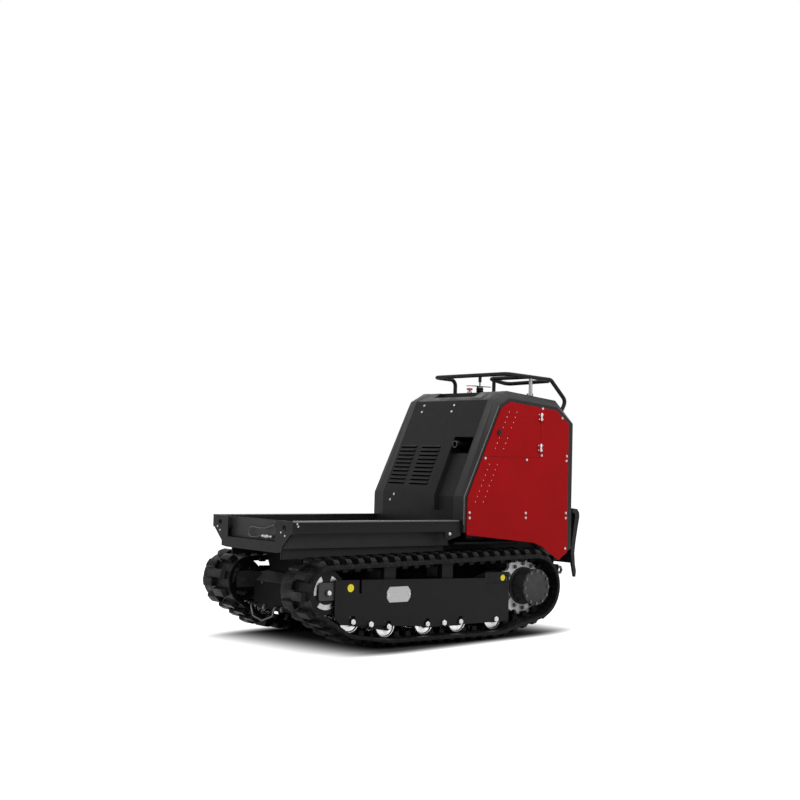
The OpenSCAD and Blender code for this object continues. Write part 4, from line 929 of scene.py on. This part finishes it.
class CARRIER_OT_fasteners(bpy.types.Operator):
    """Sets the screws, rivets and bolts of the panels, the deck and the frame"""

    bl_idname = "carrier.fasteners"
    bl_label = "Screws, rivets and bolts"

    PANEL = ((-535, 1188), (-685, 1143), (-724, 939), (-534, 939), (-722, 914), (-426, 913), (-133, 915),
             (-33, 637), (-426, 634), (-725, 633), (-34, 610), (-427, 609), (-725, 606), (-725, 443))
    FRONT = ((-213, 1198), (-215, 1162), (39, 1196), (36, 1162), (-201, 711), (-234, 681))
    CHEEK = ((-313, 541), (-288, 524), (258, 542), (292, 528))
    CHASSIS = (((900, -80, 279), 0.005), ((900, -54, 159), 0.011), ((900, 100, 163), 0.0095))
    # Radius, height, sides and taper of a cheek bolt's head
    CHEEK_X, CHEEK_HEAD = 1022.4, (0.0055, 0.0022, 20, 0.8)
    RIM_Y, RIM_SCREW, RIM = 356, 0.0035, ((1000, 586), (994, 574))
    # Face that an axle's head stands on and the head's radius
    ROLLER_HEAD, PIVOT_HEAD, IDLER_HEAD = (0.4488, 0.0144), (0.4481, 0.0154), (0.4436, 0.0124)
    HEAD_HIGH, CROWN_HIGH = 0.0096, 0.0128
    # First rivet, rows, rows left out and the gap between the columns
    DOOR_RIVETS, PANEL_RIVETS = ((-291, 1160), 8, (4,), 58), ((-161, 884), 8, (), 55)
    RIVET_STEP = 12.9, -27.5

    def execute(self, context):
        sizes = context.scene.carrier_sizes
        for side, sign in SIDES:
            out = Vector((0, sign, 0))
            studded(side + "_panel_screws", panel_screw,
                    [(at(x, sign * PANEL_Y, z), out, sizes.screw_r) for x, z in self.PANEL])
            self.rivets(side + "_door_rivets", sign, sizes.rivet_r, side + "_door_leaf", *self.DOOR_RIVETS)
            self.rivets(side + "_panel_rivets", sign, sizes.rivet_r, "carrier", *self.PANEL_RIVETS)
        studded("front_screws", panel_screw,
                [(on_front(y, z), LEAN_OUT if z > BEND_Z else FORWARD, sizes.screw_r) for y, z in self.FRONT])
        bm = bmesh.new()
        for y, z in self.CHEEK:
            disc(bm, at(self.CHEEK_X, y, z), FORWARD, *self.CHEEK_HEAD)
        for x, z in self.RIM:
            for _, sign in SIDES:
                panel_screw(bm, at(x, sign * self.RIM_Y, z), Vector((0, sign, 0)), self.RIM_SCREW)
        piece("deck_bolts", bm, "zinc", "carrier")
        studded("chassis_bolts", hex_bolt, [(at(*place), FORWARD, radius) for place, radius in self.CHASSIS],
                "dark_steel")
        for side, sign in SIDES:
            self.axle_bolts(side, sign)
        return {"FINISHED"}

    def axle_bolts(self, side, sign):
        """Bright heads of the roller axles, the bogie pivots and the idler's axle."""
        heads = {name: bmesh.new() for name in ("left_front_bogie", "left_rear_bogie", "left_track_frame",
                                                "left_idler_yoke")}
        for number in range(1, ROLLER_COUNT):
            bogie = "left_front_bogie" if number < 3 else "left_rear_bogie"
            axle = middle(hand(f"left_roller_{number}", side))
            self.head(heads[bogie], axle, sign, *self.ROLLER_HEAD)
        for x, z in PIVOTS:
            self.head(heads["left_track_frame"], at(x, 0, z), sign, *self.PIVOT_HEAD)
        self.head(heads["left_idler_yoke"], middle(hand("left_idler", side)), sign, *self.IDLER_HEAD)
        for name, bm in heads.items():
            node = hand(name, side)
            piece(node + "_bolts", bm, "zinc", body_of(node))

    def head(self, bm, axle, sign, face, radius):
        """A hexagon head that closes over the plain one, with a turned crown."""
        out, foot = Vector((0, sign, 0)), Vector((axle.x, sign * face, axle.z))
        outer = disc(bm, foot, out, radius, self.HEAD_HIGH, 6)
        bmesh.ops.inset_region(bm, faces=[outer], thickness=radius * 0.16)
        bmesh.ops.translate(bm, verts=outer.verts, vec=out * radius * 0.12)
        disc(bm, foot, out, radius * 0.62, self.CROWN_HIGH, 20, 0.7)

    def rivets(self, name, sign, radius, body, start, count, skipped, apart):
        """Two columns of rivets that follow the house front's lean."""
        right, up = self.RIVET_STEP
        spots = [(start[0] + right * row + shift, start[1] + up * row) for row in range(count)
                 if row not in skipped for shift in (0, -apart)]
        studded(name, rivet, [(at(x, sign * PANEL_Y, z), Vector((0, sign, 0)), radius) for x, z in spots],
                body=body)


class CARRIER_OT_plates(bpy.types.Operator):
    """Rivets the bare plates and sets the blank discs on the track covers"""

    bl_idname = "carrier.plates"
    bl_label = "Plates and discs"

    OUTLINE = ((395, 236), (411, 215), (522, 215), (538, 236), (538, 268), (522, 289), (411, 289), (395, 268))
    SCREWS, SCREW_Z, THICK = (402, 531), 252, 1.6
    # Place, face and radius of each disc, and the height, sides and taper of both
    DISCS = ((752, COVER_FACE, 292, 0.0185), (-214, BRACKET_FACE, 308, 0.0155))
    DISC = 0.0008, 40, 0.98
    BROW, BROW_WIDE, BROW_HIGH, BROW_THICK = (-262, 182, 1245.4), 0.031, 0.026, 0.0012

    def execute(self, context):
        screw_r = context.scene.carrier_sizes.screw_r
        for side, sign in SIDES:
            out = Vector((0, sign, 0))
            bm = bmesh.new()
            plate(bm, [at(x, sign * COVER_FACE, z) for x, z in self.OUTLINE], out * self.THICK / 1000)
            ease(piece(side + "_bare_plate", bm, "plate", "carrier"), 0.0005)
            top = sign * (COVER_FACE + self.THICK)
            studded(side + "_plate_screws", panel_screw,
                    [(at(x, top, self.SCREW_Z), out, screw_r) for x in self.SCREWS])
            discs = [(at(x, sign * y, z), out, radius, *self.DISC) for x, y, z, radius in self.DISCS]
            studded(side + "_marker_discs", disc, discs, "marker")
        self.brow_plate()
        return {"FINISHED"}

    def brow_plate(self):
        """A bare plate on the brow, beside its pocket."""
        along = UP.cross(FORWARD).cross(BROW_UP).normalized()
        across, along = Vector((0, self.BROW_WIDE, 0)), along * self.BROW_HIGH
        corners = ((-1, -1), (1, -1), (1, 1), (-1, 1))
        bm = bmesh.new()
        plate(bm, [at(*self.BROW) + across * a + along * b for a, b in corners], BROW_UP * self.BROW_THICK)
        ease(piece("brow_plate", bm, "brow_plate", "carrier"), 0.0005)


class CARRIER_OT_hose(bpy.types.Operator):
    """Lays the service hose on the deck's front wall"""

    bl_idname = "carrier.hose"
    bl_label = "Service hose"

    HANG_X, CHORDS = 1008, 9
    CLIP = ((993.5, 189, 561), (1016.6, 201, 583))
    ROUTE = ((190, 572), (170, 569.5), (150, 564.6), (122, 557.8), (94, 553.4), (62, 551.8), (30, 552.6),
             (2, 553.5), (-22.5, 553.5), (-31.5, 551.7), (-39.1, 546.6), (-44.2, 539), (-46, 530),
             (-44.2, 521), (-39.1, 513.4), (-31.5, 508.3), (-22.5, 506.5), (4, 507.2), (32, 510),
             (56, 513.4), (78, 515))

    def execute(self, context):
        across = context.scene.carrier_sizes.hose_d
        line = bpy.data.curves.new("hose_cover", "CURVE")
        line.dimensions = "3D"
        line.bevel_depth = across / 2
        line.bevel_resolution = 5
        line.resolution_u = 8
        spline = line.splines.new("BEZIER")
        spline.bezier_points.add(len(self.ROUTE) - 1)
        for knot, (y, z) in zip(spline.bezier_points, self.ROUTE):
            knot.co = at(self.HANG_X, y, z)
            knot.handle_left_type = knot.handle_right_type = "AUTO"
        line.materials.append(FINISHES["hose"])
        hose = bpy.data.objects.new("hose_tube", line)
        context.scene.collection.objects.link(hose)
        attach(hose, "carrier")
        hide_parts("service_hose")
        fitted = dress("hose_fittings", "zinc", "zinc_steel", 0.0008)
        bm = bmesh.new()
        block(bm, *(at(*corner) for corner in self.CLIP), 0.0006)
        piece("hose_clip_cover", bm, "black_paint", "carrier")
        run = self.run(spline)
        return {"FINISHED"}

    def run(self, spline):
        """Length of the hose along its line."""
        bpy.context.view_layer.update()
        total = 0.0
        for first, last in zip(spline.bezier_points, spline.bezier_points[1:]):
            points = interpolate_bezier(first.co, first.handle_right, last.handle_left, last.co, self.CHORDS)
            total += sum((there - here).length for here, there in zip(points, points[1:]))
        return total


class CARRIER_OT_controls(bpy.types.Operator):
    """Finishes the control plate, the lever with its knob, and the stop button"""

    bl_idname = "carrier.controls"
    bl_label = "Controls"

    SCREWS, SCREW_R = ((-530, -50, 1316), (-391, -50, 1316)), 0.004
    # Foot of the bellows, their folds, and the radii of their bore and folds
    FOOT, FOLDS, FOLD = (-468, -50, 1222.5), 14, 0.006
    BORE, INNER, DEEP = 0.0171, 0.0175, 0.004

    def execute(self, context):
        dress("control_console", "chrome", "chrome_plate", 0.0004)
        dress("control_lever", "plastic", "black_plastic", 0.0016)
        dress("stop_button", "button", "red_plastic", 0.0006)
        studded("console_screws", panel_screw, [(at(*place), UP, self.SCREW_R) for place in self.SCREWS])
        bm = bmesh.new()
        bore = [(self.BORE, self.FOLD * step) for step in (0, self.FOLDS)]
        folds = [(self.INNER + self.DEEP * (step % 2), self.FOLD * step) for step in range(1, self.FOLDS)]
        turned(bm, at(*self.FOOT), UP, [bore[0], *folds, bore[1], bore[0]], 40)
        piece("console_bellows", bm, "plastic", "carrier")
        return {"FINISHED"}


class CARRIER_OT_doors(bpy.types.Operator):
    """Fits the hinge leaves, pins and key locks of the doors"""

    bl_idname = "carrier.doors"
    bl_label = "Hinges and locks"

    # Feet and height of the hinges, their pin and the screws beside it
    HINGES, TALL, PIN = (958, 1122), 41, (-522, 386.3)
    SCREWS, SCREW_Y, SCREW_RISES, SCREW_R = (-508.5, -535.5), 383, (8, 33), 0.0029
    # Radius and height along a knuckle's sleeve, which stands past its end by a little
    SLEEVE = ((0.0031, 0), (0.0058, 0), (0.0062, 0.0006), (0.0062, 0.0196), (0.0031, 0.0196), (0.0031, 0))
    PAST = 0.1

    def execute(self, context):
        dress("door_hinge_pins", "red_paint", "red_paint", 0.0007)
        for side, sign in SIDES:
            out = Vector((0, sign, 0))
            swung, fixed = bmesh.new(), bmesh.new()
            for z in self.HINGES:
                x, y = self.PIN[0], sign * self.PIN[1]
                turned(swung, at(x, y, z - self.PAST), UP, self.SLEEVE, 28)
                turned(fixed, at(x, y, z + self.TALL + self.PAST), -UP, self.SLEEVE, 28)
                for up in self.SCREW_RISES:
                    for leaf, x in zip((swung, fixed), self.SCREWS):
                        panel_screw(leaf, at(x, sign * self.SCREW_Y, z + up), out, self.SCREW_R)
            piece(side + "_hinge_sleeves", swung, "zinc", side + "_door_leaf")
            piece(side + "_hinge_knuckles", fixed, "zinc", "carrier")
            dress(side + "_door_lock", "plastic", "black_plastic", 0.0008)
        dress("deck_lug_pins", "zinc", "zinc_steel", 0.001)
        return {"FINISHED"}


class CARRIER_OT_tow(bpy.types.Operator):
    """Finishes the tow bow, the rear tow plates and the bumper"""

    bl_idname = "carrier.tow"
    bl_label = "Tow bow and bumper"

    def execute(self, context):
        dress("tow_fittings", "dark_steel", "zinc_steel", 0.0012)
        dress("rear_bumper", "plastic", "black_plastic", 0.003)
        return {"FINISHED"}


class CARRIER_OT_engine(bpy.types.Operator):
    """Finishes what the house holds"""

    bl_idname = "carrier.engine"
    bl_label = "Engine and tanks"

    HELD = (("engine_block", "casting", "cast_grey"), ("exhaust", "dark_steel", "zinc_steel"),
            ("hydraulic_pump", "casting", "cast_grey"), ("tanks", "frame_paint", "black_paint"),
            ("battery", "plastic", "black_plastic"))

    def execute(self, context):
        for held in self.HELD:
            dress(*held, 0.002)
        return {"FINISHED"}


OPERATORS = (CARRIER_OT_stage, CARRIER_OT_hose, CARRIER_OT_sheet_metal, CARRIER_OT_running_gear,
             CARRIER_OT_belts, CARRIER_OT_wheels, CARRIER_OT_guard, CARRIER_OT_louvres, CARRIER_OT_fasteners,
             CARRIER_OT_plates, CARRIER_OT_controls, CARRIER_OT_doors, CARRIER_OT_tow, CARRIER_OT_engine)


class CARRIER_PT_pieces(bpy.types.Panel):
    """Lists the carrier's pieces and their sizes and colours"""

    bl_idname = "CARRIER_PT_pieces"
    bl_label = "Tracked Power Carrier"
    bl_space_type = "VIEW_3D"
    bl_region_type = "UI"
    bl_category = "Carrier"

    def draw(self, context):
        for kind in OPERATORS:
            self.layout.operator(kind.bl_idname)
        for name in ("carrier_sizes", "carrier_colours", "carrier_stage"):
            group = getattr(context.scene, name)
            column = self.layout.column(align=True)
            for key in group.__annotations__:
                column.prop(group, key)


GROUPS = {"carrier_colours": CarrierColours, "carrier_sizes": CarrierSizes, "carrier_stage": CarrierStage}


def register():
    for name, kind in GROUPS.items():
        bpy.utils.register_class(kind)
        setattr(bpy.types.Scene, name, bpy.props.PointerProperty(type=kind))
    for kind in (*OPERATORS, CARRIER_PT_pieces):
        bpy.utils.register_class(kind)


def unregister():
    for kind in reversed((*OPERATORS, CARRIER_PT_pieces)):
        bpy.utils.unregister_class(kind)
    for name, kind in reversed(GROUPS.items()):
        delattr(bpy.types.Scene, name)
        bpy.utils.unregister_class(kind)


def main():
    """Builds the whole carrier."""
    register()
    mix_finishes(bpy.context.scene.carrier_colours)
    for kind in OPERATORS:
        group, name = kind.bl_idname.split(".")
        getattr(getattr(bpy.ops, group), name)()


if __name__ == "__main__":
    main()
